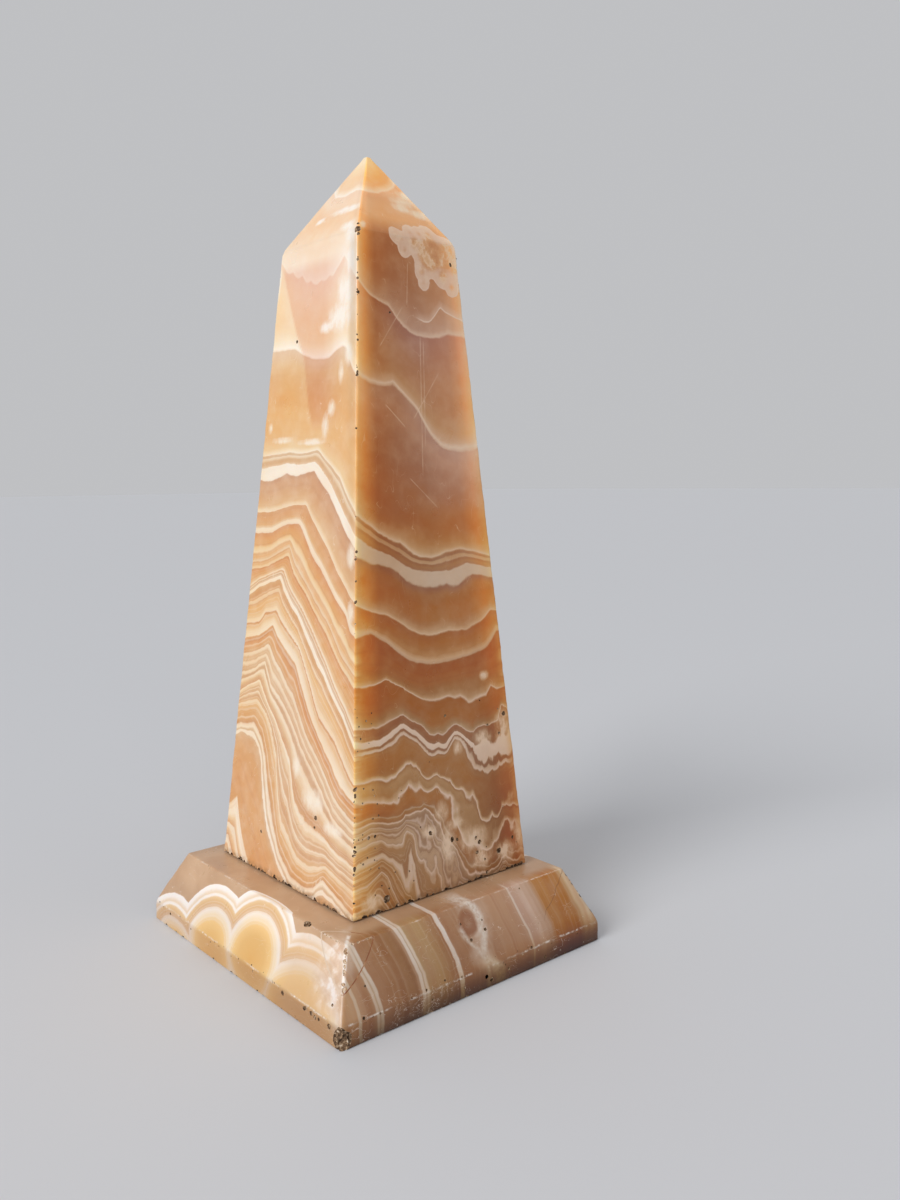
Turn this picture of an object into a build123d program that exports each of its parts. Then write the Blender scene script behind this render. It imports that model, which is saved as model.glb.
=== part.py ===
"""A decorative banded-onyx obelisk: a tapering shaft with a pointed cap, bedded on a bevelled plinth.

The two stones are solid.  A thin dark bed of mastic shows as a shadow line under the shaft.  One upper
corner of the plinth was once knocked off and is glued back, and the corner below it is broken away.
All sizes are in millimetres.  The origin is the middle of the underside, with +Z up.  The damaged
corner is the one towards -X and -Y.
"""

from build123d import *
import os

os.makedirs("parts", exist_ok=True)

# ---- driving sizes --------------------------------------------------------------------------------
plinth_side = 248.0           # the square that stands on the table
plinth_top_side = 208.0       # the square flat that carries the shaft
plinth_height = 56.0
rim_height = 15.0             # upright band below the plinth's bevel
plinth_arris = 2.4            # softened corners of the plinth
plinth_edge = 1.4             # softened level edges of the plinth

shaft_foot_side = 169.0
shaft_head_side = 90.0        # at the shoulder, where the cap starts
shaft_height = 460.0          # from the foot to the shoulder
cap_height = 67.0             # from the shoulder to the point the cap faces aim at
shaft_arris = 1.8             # softened corners of the shaft
shoulder_edge = 1.6           # softened edge between shaft and cap
foot_edge = 0.8               # worn bottom edges of both stones
tip_side = 4.0                # the small worn flat at the point
shaft_shift_x = 4.5           # the shaft stands a little off the plinth's middle
shaft_shift_y = 3.5

bed_thickness = 1.2           # dark mastic under the shaft
bed_setback = 1.6             # how far the bed stops short of the shaft's edges

break_radius = 100.0          # the shell-shaped break under the mended corner
break_reach_x = 23.0          # how far the break runs along the plinth's top edges
break_reach_y = 28.0
break_depth = 28.0            # how far it runs down the corner
break_sag = 3.0               # how deep the shell shape dips below a flat break
glue_thickness = 0.6

chip_radius = 13.0            # the broken lower corner
chip_out_x = 7.0              # centre of the chip, outside the corner
chip_out_y = 3.0
chip_height = 7.0

nick_radius = 3.4             # a bite out of the front shoulder
nick_out = 1.4

# ---- levels and corners worked out from them ------------------------------------------------------
shaft_foot = plinth_height + bed_thickness
shoulder = shaft_foot + shaft_height
cap_slope = shaft_head_side / cap_height
tip_level = shoulder + (shaft_head_side - tip_side) / cap_slope
shaft_middle = (shaft_shift_x, shaft_shift_y)

# each outline is a level and the side of the square there
plinth_outlines = (
    (0, plinth_side - 2 * foot_edge),
    (foot_edge, plinth_side),
    (rim_height, plinth_side),
    (plinth_height, plinth_top_side),
)
shaft_outlines = (
    (shaft_foot, shaft_foot_side - 2 * foot_edge),
    (shaft_foot + foot_edge, shaft_foot_side),
    (shoulder, shaft_head_side),
    (tip_level, tip_side),
)

rim_corner = -plinth_side / 2
top_corner = -plinth_top_side / 2
bevel_run = (plinth_side - plinth_top_side) / 2 / (plinth_height - rim_height)
break_corner = top_corner - bevel_run * break_depth
break_points = (
    Vector(top_corner, top_corner + break_reach_y, plinth_height),
    Vector(top_corner + break_reach_x, top_corner, plinth_height),
    Vector(break_corner, break_corner, plinth_height - break_depth),
)
break_middle = (break_points[0] + break_points[1] + break_points[2]) / 3
break_out = (break_points[2] - break_points[0]).cross(break_points[1] - break_points[0]).normalized()
break_centre = break_middle + break_out * (break_radius - break_sag)

# ---- plinth: three square outlines joined by straight faces ---------------------------------------
with BuildPart() as slab:
    for level, side in plinth_outlines:
        with BuildSketch(Plane.XY.offset(level)):
            RectangleRounded(side, side, plinth_arris)
    loft(ruled=True)
    fillet(slab.edges().filter_by_position(Axis.Z, rim_height, plinth_height), plinth_edge)
    with Locations((rim_corner - chip_out_x, rim_corner - chip_out_y, chip_height)):
        Sphere(chip_radius, mode=Mode.SUBTRACT)

with BuildPart() as plinth:
    add(slab.part)
    with Locations(break_centre):
        Sphere(break_radius, mode=Mode.SUBTRACT)

with BuildPart() as mend_glue:
    add(slab.part)
    with Locations(break_centre):
        Sphere(break_radius, mode=Mode.INTERSECT)
        Sphere(break_radius - glue_thickness, mode=Mode.SUBTRACT)

with BuildPart() as corner_fragment:
    add(slab.part)
    with Locations(break_centre):
        Sphere(break_radius - glue_thickness, mode=Mode.INTERSECT)

# ---- bed of mastic that the shaft is set in -------------------------------------------------------
with BuildPart() as bedding:
    with BuildSketch(Plane.XY.offset(plinth_height)):
        with Locations(shaft_middle):
            bed_side = shaft_foot_side - 2 * bed_setback
            RectangleRounded(bed_side, bed_side, shaft_arris)
    extrude(amount=bed_thickness)

# ---- shaft and pointed cap, cut from one stone ----------------------------------------------------
with BuildPart() as shaft:
    for level, side in shaft_outlines:
        with BuildSketch(Plane.XY.offset(level)):
            with Locations(shaft_middle):
                RectangleRounded(side, side, shaft_arris)
    loft(ruled=True)
    fillet(shaft.edges().filter_by_position(Axis.Z, shoulder, shoulder), shoulder_edge)
    nick_x = shaft_shift_x - shaft_head_side / 2 - nick_out
    nick_y = shaft_shift_y - shaft_head_side / 2 - nick_out
    with Locations((nick_x, nick_y, shoulder)):
        Sphere(nick_radius, mode=Mode.SUBTRACT)

# ---- one file for each piece ----------------------------------------------------------------------
plinth.part.label = "plinth"
export_step(plinth.part, "parts/plinth.step")
corner_fragment.part.label = "corner_fragment"
export_step(corner_fragment.part, "parts/corner_fragment.step")
mend_glue.part.label = "mend_glue"
export_step(mend_glue.part, "parts/mend_glue.step")
bedding.part.label = "bedding"
export_step(bedding.part, "parts/bedding.step")
shaft.part.label = "shaft"
export_step(shaft.part, "parts/shaft.step")

print("overall height", round(shaft.part.bounding_box().max.Z, 1))
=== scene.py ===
# %% [markdown]
# # A banded onyx obelisk
# The object is a tabletop obelisk, ground and polished from two blocks of banded calcite onyx: a tapering
# shaft with a pointed cap, and a bevelled plinth.  The frame from the CAD step gives every size and place.
# This script gives the stones their wear, their growth bands and their polish.

# %% Load the frame
import math
import random

import bmesh
import bpy
import numpy as np
from mathutils import Matrix, Vector, noise


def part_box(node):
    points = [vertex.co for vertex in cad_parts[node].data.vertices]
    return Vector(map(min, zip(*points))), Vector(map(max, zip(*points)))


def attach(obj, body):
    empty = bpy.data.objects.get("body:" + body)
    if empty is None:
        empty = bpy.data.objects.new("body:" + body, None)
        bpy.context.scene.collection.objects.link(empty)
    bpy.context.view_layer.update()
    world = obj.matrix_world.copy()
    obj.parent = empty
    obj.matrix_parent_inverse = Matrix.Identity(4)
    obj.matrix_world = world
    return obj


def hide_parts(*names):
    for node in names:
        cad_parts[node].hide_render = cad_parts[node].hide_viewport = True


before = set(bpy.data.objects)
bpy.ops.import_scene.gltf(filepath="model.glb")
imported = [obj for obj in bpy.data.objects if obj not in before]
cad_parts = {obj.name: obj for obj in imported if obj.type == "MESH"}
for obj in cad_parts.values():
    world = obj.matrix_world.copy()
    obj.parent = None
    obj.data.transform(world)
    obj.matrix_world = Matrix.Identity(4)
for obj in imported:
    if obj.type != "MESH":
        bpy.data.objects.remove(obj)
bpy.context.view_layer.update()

mm = 0.001

# %% [markdown]
# ## Sizes
# The outer levels come from the CAD boxes.  Four sizes lie inside a box and can't be read from it, so they are
# stated: the height and the width of the shoulder, where the shaft turns into its cap, the height of the
# plinth's rim, and the width of its top.

# %% Read the stones' levels
shaft_low, shaft_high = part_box("shaft")
plinth_low, plinth_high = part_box("plinth")
bed_low, bed_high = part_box("bedding")

foot = shaft_low[2]
foot_side = shaft_high[0] - shaft_low[0]
shoulder = foot + 460 * mm
head_side = 90 * mm
tip = shaft_high[2]
shaft_middle = Vector(((shaft_low[0] + shaft_high[0]) / 2, (shaft_low[1] + shaft_high[1]) / 2, 0))

plinth_side = plinth_high[0] - plinth_low[0]
plinth_top = plinth_high[2]
rim = 15 * mm
top_side = 208 * mm
bevel_run = (plinth_side - top_side) / 2 / (plinth_top - rim)
print("shaft foot, shoulder and tip in mm:", round(foot / mm, 1), round(shoulder / mm, 1), round(tip / mm, 1))

# %% [markdown]
# ## Camera
# The view is from a little above the middle of the shaft, turned so that one corner comes forward.  The
# camera looks along its own -Z, so its turn is built from a heading, a downward tilt and a slight roll.

# %% Place the camera
def add_object(name, data):
    """a new object, linked into the scene"""
    thing = bpy.data.objects.new(name, data)
    bpy.context.scene.collection.objects.link(thing)
    return thing


heading = math.radians(-37.25)
tilt_down = math.radians(7.26)
roll = math.radians(-0.61)

camera_data = bpy.data.cameras.new("camera")
camera_data.lens = 30.1
camera_data.sensor_width = 36.0
camera_data.shift_x = 0.090
camera_data.shift_y = 0.008
camera = add_object("camera", camera_data)
camera.matrix_world = (
    Matrix.Translation((-0.4716, -0.5872, 0.3495))
    @ Matrix.Rotation(heading, 4, "Z")
    @ Matrix.Rotation(math.pi / 2 - tilt_down, 4, "X")
    @ Matrix.Rotation(roll, 4, "Z")
)
bpy.context.scene.camera = camera


# %% [markdown]
# ## Colours and nodes
# Colours are written as they look on a screen, in sRGB hex, and the shader wants them linear.  One small
# helper adds a node, sets its values and joins its inputs, so that each material reads as a list of steps.

# %% Turn hex colours to linear
def linear(hex_colour):
    """an sRGB hex colour as a linear RGBA tuple"""
    parts = [int(hex_colour[i:i + 2], 16) / 255 for i in (1, 3, 5)]
    return tuple(p / 12.92 if p <= 0.04045 else ((p + 0.055) / 1.055) ** 2.4 for p in parts) + (1.0,)


# %% Add a node with its settings and links
def bare(given):
    """the socket of a Number (the class further down); anything else as it is"""
    return given.socket if isinstance(given, Number) else given


def tree_of(*given):
    """the node tree of the first socket or Number among these"""
    return next(bare(one).id_data for one in given if isinstance(bare(one), bpy.types.NodeSocket))


def add_node(tree, kind, inputs=None, **settings):
    """adds one node; inputs maps a socket's name or number to a value or to another node's output"""
    node = tree.nodes.new(kind)
    for name, value in settings.items():
        setattr(node, name, value)
    for socket, given in (inputs or {}).items():
        given = bare(given)
        if isinstance(given, bpy.types.NodeSocket):
            tree.links.new(given, node.inputs[socket])
        else:
            node.inputs[socket].default_value = given
    return node


def new_material(name):
    """a material without nodes, and its node tree"""
    material = bpy.data.materials.new(name)
    material.use_nodes = True
    material.node_tree.nodes.clear()
    return material, material.node_tree


def new_stone(name):
    """a new material, and the place in the object that its patterns are laid on"""
    material, tree = new_material(name)
    return material, add_node(tree, "ShaderNodeTexCoord").outputs["Object"]


def finish_surface(tree, inputs):
    """ends a material with a Principled shader and its output"""
    shader = add_node(tree, "ShaderNodeBsdfPrincipled", inputs)
    add_node(tree, "ShaderNodeOutputMaterial", {"Surface": shader.outputs[0]})


# %% [markdown]
# ## A stone block with worn edges
# A stonecutter saws a block, grinds it flat and rounds the arrises a little by hand, and years of handling
# round them more.  The mesh follows the same order: a square is extruded from level to level, the faces are
# cut into a fine grid, the grid is crowded towards the arrises, and then each corner is rounded by an
# amount that drifts along it.

# %% Extrude squares from level to level
def is_level(edge):
    return abs(edge.verts[0].co.z - edge.verts[1].co.z) < 1e-6


def stacked_squares(levels, middle, columns, row_height):
    """a closed block through (height, side) squares, its faces cut into columns and rows"""
    bm = bmesh.new()
    height, side = levels[0]
    start = Matrix.Translation((middle.x, middle.y, height))
    bmesh.ops.create_grid(bm, x_segments=1, y_segments=1, size=side / 2, matrix=start)
    top = bm.faces[:]
    for (below, side_below), (above, side_above) in zip(levels, levels[1:]):
        grown = bmesh.ops.extrude_face_region(bm, geom=top)["geom"]
        verts = [part for part in grown if isinstance(part, bmesh.types.BMVert)]
        top = [part for part in grown if isinstance(part, bmesh.types.BMFace)]
        bmesh.ops.translate(bm, verts=verts, vec=(0, 0, above - below))
        share = side_above / side_below
        bmesh.ops.scale(bm, verts=verts, vec=(share, share, 1), space=Matrix.Translation(-middle))
    bmesh.ops.holes_fill(bm, edges=[edge for edge in bm.edges if edge.is_boundary], sides=4)
    level_edges = [edge for edge in bm.edges if is_level(edge)]
    bmesh.ops.subdivide_edges(bm, edges=level_edges, cuts=columns - 1, use_grid_fill=True)
    for (below, _), (above, _) in zip(levels, levels[1:]):
        rows = round((above - below) / row_height)
        rising = [edge for edge in bm.edges if crosses(edge, (below + above) / 2)]
        if rows > 1:
            bmesh.ops.subdivide_edges(bm, edges=rising, cuts=rows - 1, use_grid_fill=True)
    bmesh.ops.recalc_face_normals(bm, faces=bm.faces[:])
    return bm


def crosses(edge, height):
    low, high = sorted(v.co.z for v in edge.verts)
    return low < height < high


# %% Crowd the grid towards the arrises and round them
def crowd(share, strength=1.3):
    """moves a place across a face, from -1 to 1, so that the grid lines gather near both ends"""
    return np.sin(share * strength) / math.sin(strength)


def mesh_from(bm, name):
    """turns a finished bmesh into a mesh"""
    mesh = bpy.data.meshes.new(name)
    bm.to_mesh(mesh)
    bm.free()
    return mesh


def move_to(mesh, points):
    mesh.vertices.foreach_set("co", points.ravel())
    mesh.update()


def half_sides(points, levels):
    """half the block's side at the height of each point"""
    return np.interp(points[:, 2], [height for height, _ in levels], [side / 2 for _, side in levels])


def coordinates(mesh):
    points = np.empty(len(mesh.vertices) * 3)
    mesh.vertices.foreach_get("co", points)
    return points.reshape(-1, 3)


def drift(points, size, seed):
    """smooth noise from -1 to 1 at each point, whose swells are about size long"""
    shift = Vector((seed * 17.3, seed * 5.1, seed * 9.7))
    return np.array([noise.noise(Vector(p) / size + shift) for p in points])


def worn_block(name, levels, middle, columns, row_height, arris, seed):
    """a block whose upright arrises are rounded by arris, more in some places than in others"""
    mesh = mesh_from(stacked_squares(levels, middle, columns, row_height), name)
    points = coordinates(mesh)
    half = half_sides(points, levels)
    across = (points[:, :2] - np.array(middle[:2])) / half[:, None]
    place = crowd(np.clip(across, -1, 1)) * half[:, None]

    swell = 15 * mm
    quarter = np.stack([np.sign(place[:, 0]), np.sign(place[:, 1]), points[:, 2] / swell], axis=1)
    worn = arris * (1 + 0.5 * drift(quarter, 1.0, seed) + 0.35 * drift(quarter, 0.3, seed + 1))
    worn = np.minimum(worn, half * 0.5)
    inner = np.abs(place) - (half - worn)[:, None]
    in_corner = (inner > 0).all(axis=1)
    reach = inner[in_corner]
    pull = reach.max(axis=1) / np.linalg.norm(reach, axis=1)
    rounded = (half[in_corner] - worn[in_corner])[:, None] + reach * pull[:, None]
    place[in_corner] = np.sign(place[in_corner]) * rounded

    points[:, :2] = place + np.array(middle[:2])
    move_to(mesh, points)
    return mesh


def soften(mesh, heights, reach, rounds):
    """rounds the level edges at some heights by smoothing the rows beside them"""
    bm = bmesh.new()
    bm.from_mesh(mesh)
    near = [v for v in bm.verts if any(abs(v.co.z - height) < reach for height in heights)]
    for _ in range(rounds):
        bmesh.ops.smooth_vert(bm, verts=near, factor=0.5, use_axis_x=True, use_axis_y=True, use_axis_z=True)
    bm.to_mesh(mesh)
    bm.free()


def press_in(mesh, levels, middle):
    """moves what a cut has left standing outside a block to just under its surface"""
    allowed, sunk = 0.02 * mm, 0.2 * mm
    points = coordinates(mesh)
    half = half_sides(points, levels)
    for axis in (0, 1):
        off = points[:, axis] - middle[axis]
        outside = np.abs(off) > half + allowed
        points[outside, axis] = middle[axis] + np.sign(off[outside]) * (half[outside] - sunk)
    points[:, 2] = np.clip(points[:, 2], levels[0][0], levels[-1][0])
    move_to(mesh, points)


def new_piece(name, mesh, material, node=None):
    """an object in the scene that rides on the body, wears a material and stands for a CAD node"""
    piece = add_object(name, mesh)
    piece.data.materials.clear()
    piece.data.materials.append(material)
    if node:
        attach(piece, "root")
        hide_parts(node)
    return piece


def shade_smooth(piece, degrees=30):
    """shades a piece smooth except at its sharp edges"""
    for polygon in piece.data.polygons:
        polygon.use_smooth = True
    piece.data.set_sharp_from_angle(angle=math.radians(degrees))


def triangles(piece):
    return sum(len(polygon.vertices) - 2 for polygon in piece.data.polygons)


# %% [markdown]
# ## Chips, pits and breaks
# Onyx is brittle and full of tiny hollows, so its edges lose small shell-shaped flakes and its faces show
# pits.  Each of them is cut out by a lumpy ball.  The cut keeps the ball's material, so that the broken
# surface is rough and dull beside the polish.

# %% Cut with lumpy balls
def ball(centre, radius, wide=1, deep=1, tall=1):
    """a ball for lumpy_balls, stretched along x, y and z"""
    return centre, (radius * wide, radius * deep, radius * tall)


def lumpy_balls(balls, seed, lumpiness=0.28, small=3.2 * mm):
    """one mesh of many balls, each (centre, radii), dented by noise"""
    bm = bmesh.new()
    for centre, radii in balls:
        size = max(radii)
        turn = Vector((noise.noise(centre * 900), noise.noise(centre * 700), noise.noise(centre * 800))) * 0.8
        place = Matrix.LocRotScale(centre, turn.rotation_difference(Vector((0, 0, 1))), Vector(radii))
        fineness = 2 if size < small else 4
        verts = bmesh.ops.create_icosphere(bm, subdivisions=fineness, radius=1, matrix=place)["verts"]
        for v in verts:
            out = v.co - centre
            lump = noise.fractal(v.co / size * 1.6 + Vector((seed, 0, 0)), 0.9, 2.0, 3)
            v.co = centre + out * (1 + lumpiness * lump)
    return mesh_from(bm, "cutter")


def drop_crumbs(mesh):
    """keeps only the largest connected part; a cut can leave crumbs behind"""
    bm = bmesh.new()
    bm.from_mesh(mesh)
    unseen = set(bm.verts)
    largest = set()
    while unseen:
        queue = [unseen.pop()]
        part = set(queue)
        while queue:
            for edge in queue.pop().link_edges:
                fresh = unseen.intersection(edge.verts)
                unseen -= fresh
                part |= fresh
                queue.extend(fresh)
        largest = max(largest, part, key=len)
    crumbs = [v for v in bm.verts if v not in largest]
    bmesh.ops.delete(bm, geom=crumbs, context="VERTS")
    bm.to_mesh(mesh)
    bm.free()
    print(f"{mesh.name}: {len(crumbs)} crumb vertices dropped")


def combine(piece, mesh, operation, material=None, overlapping=False):
    """cuts a piece with another closed mesh, or keeps only what both share"""
    cutter = add_object("cutter", mesh)
    if material:
        cutter.data.materials.append(material)
    boolean = piece.modifiers.new("cut", "BOOLEAN")
    boolean.operation = operation
    boolean.solver = "EXACT"
    boolean.use_self = overlapping
    boolean.material_mode = "TRANSFER"
    boolean.object = cutter
    result = bpy.data.meshes.new_from_object(piece.evaluated_get(bpy.context.evaluated_depsgraph_get()))
    piece.modifiers.remove(boolean)
    result.validate()
    drop_crumbs(result)
    name = piece.data.name
    piece.data = result
    result.name = name
    bpy.data.objects.remove(cutter)
    return piece


# %% [markdown]
# ## Growth layers
# Banded onyx grows in a cave or a spring, layer on layer, over a lumpy floor.  Each layer repeats the lumps
# below it, so a cut face shows lines that hang in arcs between upward cusps.  A few of these lines are drawn
# for the two front faces, as points across the face from -1 to 1 with their heights in mm, and a
# third number says how far the arc after a point hangs.  A vertex between two lines gets a layer number
# between theirs.  The layer number is the height at which the layer meets the front arris.  The two far
# faces mirror the front ones and drift off on their own, so that each line runs on round every arris.

# %% Draw the guide lines
guides = [
    # layer, line on the -X face from its far arris to the front one, line on the -Y face from the front one
    (550, [(-1, 559), (-0.7, 555), (-0.45, 551), (0.15, 549.5), (0.7, 552), (1, 550)],
          [(-1, 550), (-0.5, 549.5), (-0.2, 551), (0.1, 552), (0.4, 555), (0.7, 558), (1, 561)]),
    (484, [(-1, 512), (-0.88, 506, 3), (-0.62, 502, 3), (-0.35, 497, 3), (-0.12, 491, 3), (0.15, 490, 2),
           (0.36, 492, 2), (0.5, 493), (0.7, 502), (0.8, 497), (1, 484)],
          [(-1, 484), (-0.8, 475), (-0.4, 467, 3), (0, 451, 2), (0.65, 454), (1, 452)]),
    (420, [(-1, 447), (-0.4, 445), (-0.2, 440, 1.5), (0.4, 435), (0.7, 441), (0.8, 440), (0.9, 427), (1, 420)],
          [(-1, 421, 4), (-0.4, 417), (0, 398, 6), (0.5, 372, 2), (1, 373)]),
    (328, [(-1, 370), (-0.4, 371.5, 1), (0.25, 373), (0.5, 362), (0.7, 353), (0.8, 344), (1, 329)],
          [(-1, 328), (-0.6, 313), (-0.2, 300, 1), (0.1, 296), (0.5, 301), (0.7, 299), (1, 295)]),
    (311, [(-1, 361), (-0.4, 364, 1), (0.2, 365), (0.35, 359), (0.55, 347), (0.8, 328), (1, 313)],
          [(-1, 314), (-0.7, 304), (-0.5, 299, 2), (-0.15, 289), (0.3, 285), (0.6, 291), (1, 286)]),
    (304, [(-1, 353), (-0.75, 352), (-0.38, 356.5), (-0.2, 355), (0.19, 359), (0.35, 350), (0.6, 335), (0.8, 319),
           (1, 306)],
          [(-1, 301), (-0.8, 296), (-0.53, 291), (-0.3, 281, 1), (0.1, 276), (0.4, 274), (0.67, 283), (1, 279)]),
    (270, [(-1, 329), (-0.6, 330), (-0.3, 334), (0.06, 335.5), (0.17, 326), (0.5, 306), (0.7, 290), (0.88, 277),
           (1, 270)],
          [(-1, 269), (-0.6, 260), (-0.3, 248, 1), (0.1, 242.5), (0.5, 243.5), (0.75, 248), (0.9, 256), (1, 255)]),
    (248, [(-1, 314), (-0.6, 315), (-0.3, 321.5), (-0.05, 322), (0.1, 310), (0.2, 301), (0.4, 291), (0.7, 271),
           (0.85, 262), (0.92, 251), (1, 248)],
          [(-1, 247), (-0.8, 250.5), (-0.6, 242, 1), (-0.35, 229, 1), (0, 223, 1), (0.4, 223.5), (0.7, 227, 2),
           (0.95, 241), (1, 240)]),
    (222, [(-1, 291), (-0.6, 296), (-0.22, 305.5), (-0.1, 293), (0.15, 279), (0.35, 267), (0.6, 251), (0.75, 237),
           (1, 222)],
          [(-1, 222), (-0.8, 221), (-0.62, 222), (-0.4, 213), (-0.15, 206), (0.4, 208), (0.8, 207), (1, 206)]),
    (214, [(-1, 286), (-0.6, 291), (-0.24, 300), (-0.12, 287), (0.13, 273), (0.33, 260), (0.58, 243), (0.75, 229),
           (1, 214)],
          [(-1, 216, 3), (-0.62, 218.5), (-0.4, 210, 1), (-0.1, 199), (0.05, 196), (0.2, 198, 1), (0.35, 196),
           (0.45, 191), (0.7, 194), (0.78, 201), (0.86, 197), (1, 199)]),
    (187, [(-1, 273), (-0.8, 281), (-0.55, 286), (-0.32, 290.5), (-0.2, 279), (0.1, 262), (0.3, 248), (0.5, 231),
           (0.8, 204), (1, 187)],
          [(-1, 189), (-0.75, 186), (-0.42, 191.5), (-0.3, 185), (-0.18, 182), (-0.05, 171), (0.08, 170), (0.25, 178),
           (0.35, 171), (0.48, 168), (0.53, 172), (0.7, 171), (0.83, 173), (0.9, 186), (1, 181)]),
    (176, [(-1, 266), (-0.8, 274.5), (-0.45, 281), (-0.37, 283), (-0.3, 275), (0, 257), (0.3, 233), (0.5, 218),
           (0.8, 195), (1, 176)],
          [(-1, 176), (-0.7, 175), (-0.42, 182.5), (-0.25, 172), (-0.1, 161), (0.1, 160), (0.24, 171), (0.37, 164),
           (0.44, 160), (0.49, 150), (0.57, 144), (0.65, 146), (0.7, 140), (0.78, 148), (0.9, 150), (1, 146)]),
    (168, [(-1, 258), (-0.75, 265), (-0.5, 272), (-0.38, 274), (-0.3, 266), (0, 249), (0.3, 224), (0.5, 210),
           (0.8, 187), (1, 168)],
          [(-1, 168), (-0.5, 171), (-0.4, 175), (-0.25, 165), (-0.1, 157), (0.08, 155.5), (0.24, 163), (0.32, 158),
           (0.38, 145), (0.45, 138), (0.56, 132), (0.62, 122), (0.7, 117), (0.8, 121), (0.87, 139), (1, 131)]),
    (152, [(-1, 245), (-0.72, 249), (-0.62, 257), (-0.42, 260.5), (-0.3, 253), (-0.1, 245), (0.05, 237), (0.2, 222),
           (0.45, 190), (0.7, 178), (0.85, 163), (1, 152)],
          [(-1, 153), (-0.8, 153), (-0.5, 150), (-0.35, 157), (-0.25, 146), (-0.15, 141.5), (0.06, 140.5),
           (0.12, 131), (0.25, 118), (0.37, 112), (0.5, 101), (0.66, 94.5), (0.85, 98), (1, 104)]),
    (141, [(-1, 233), (-0.7, 238), (-0.55, 245), (-0.45, 249.5), (-0.35, 241), (0, 224), (0.12, 209), (0.25, 194),
           (0.5, 172), (0.65, 159), (0.8, 147), (1, 140)],
          [(-1, 140), (-0.8, 139), (-0.5, 133.5), (-0.36, 141), (-0.26, 131), (-0.1, 129), (0, 119), (0.15, 98),
           (0.4, 84), (0.65, 76), (0.85, 80), (1, 84)]),
    (128, [(-1, 222), (-0.7, 227), (-0.5, 235), (-0.4, 226), (-0.1, 206), (0, 200), (0.2, 179), (0.5, 157),
           (0.7, 140), (0.85, 132), (1, 127)],
          [(-1, 127), (-0.8, 128), (-0.5, 123), (-0.3, 124), (-0.15, 121), (-0.03, 106), (0.1, 86), (0.4, 70),
           (0.65, 66), (0.85, 67), (1, 72)]),
    (116, [(-1, 206), (-0.75, 212), (-0.55, 221), (-0.4, 203), (-0.15, 190), (0, 180), (0.2, 163), (0.5, 140),
           (0.7, 125), (0.85, 119), (1, 115)],
          [(-1, 117), (-0.8, 120), (-0.5, 113), (-0.4, 113), (-0.33, 104), (-0.25, 88), (-0.12, 72), (0, 67),
           (0.15, 62), (0.4, 57), (1, 57)]),
    (100, [(-1, 193), (-0.8, 201), (-0.62, 206.5), (-0.5, 195), (-0.3, 181), (-0.15, 165), (0, 151), (0.1, 124),
           (0.25, 111), (0.45, 108), (0.6, 107), (0.8, 101), (1, 98)],
          [(-1, 97), (-0.9, 99), (-0.7, 101), (-0.58, 96), (-0.5, 88), (-0.45, 76), (-0.37, 66), (-0.3, 58),
           (0, 45), (1, 45)]),
    (82, [(-1, 184), (-0.8, 188), (-0.65, 192), (-0.45, 184), (-0.35, 175), (-0.22, 152), (-0.18, 130), (-0.1, 107),
          (0.05, 96), (0.2, 84), (0.35, 82), (0.5, 86), (0.6, 91), (0.8, 86), (1, 82)],
         [(-1, 83), (-0.85, 84), (-0.7, 90), (-0.63, 85), (-0.57, 72), (-0.5, 61), (-0.3, 40), (1, 30)]),
    (66, [(-1, 167), (-0.8, 170), (-0.66, 173.5), (-0.5, 162), (-0.4, 145), (-0.32, 120), (-0.2, 98), (-0.1, 85),
          (0.1, 70), (0.3, 67), (0.45, 70), (0.57, 82), (0.7, 76), (1, 66)],
         [(-1, 68), (-0.85, 68), (-0.75, 76), (-0.68, 68), (-0.6, 55), (-0.3, 25), (1, 20)]),
    (60, [(-1, 161), (-0.85, 165), (-0.66, 166), (-0.55, 158), (-0.47, 145), (-0.42, 122), (-0.3, 98), (-0.1, 74),
          (0.1, 62), (0.3, 60), (0.45, 63), (0.57, 72), (0.75, 68), (1, 60)],
         [(-1, 60), (-0.85, 58), (-0.75, 62), (-0.68, 56), (-0.3, 15), (1, 10)]),
    (20, [(-1, 103), (-0.92, 106), (-0.85, 111), (-0.8, 98), (-0.7, 80), (-0.6, 68), (-0.5, 60), (-0.3, 48), (1, 20)],
         [(-1, 20), (1, -30)]),
    (-10, [(-1, 76), (-0.95, 76), (-0.85, 60), (-0.7, 45), (1, -10)],
          [(-1, -10), (1, -60)]),
]


# %% Work out the layer of any point
def hang(points, across):
    """heights of a line across a face; the arc after a point sags by the point's third number"""
    at, height, sag = (np.array(column) for column in zip(*[(point + (0,))[:3] for point in points]))
    span = np.clip(np.searchsorted(at, across, side="right") - 1, 0, len(at) - 2)
    along = np.clip((across - at[span]) / (at[span + 1] - at[span]), 0, 1)
    return np.interp(across, at, height) - sag[span] * 4 * along * (1 - along)


def layers_on(side, across, height):
    """layer numbers at places on the -X face (side 1) or the -Y face (side 2)"""
    layer = np.array([guide[0] for guide in guides], float)
    lines = np.array([hang(guide[side], across) for guide in guides])
    lines = np.minimum.accumulate(lines - 0.4 * np.arange(len(guides))[:, None], axis=0)
    result = layer[0] + (height - lines[0])
    for i in range(1, len(guides)):
        share = (height - lines[i]) / (lines[i - 1] - lines[i])
        result = np.where(height < lines[i - 1], layer[i] + share * (layer[i - 1] - layer[i]), result)
    return np.where(height < lines[-1], layer[-1] + height - lines[-1], result)


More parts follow.
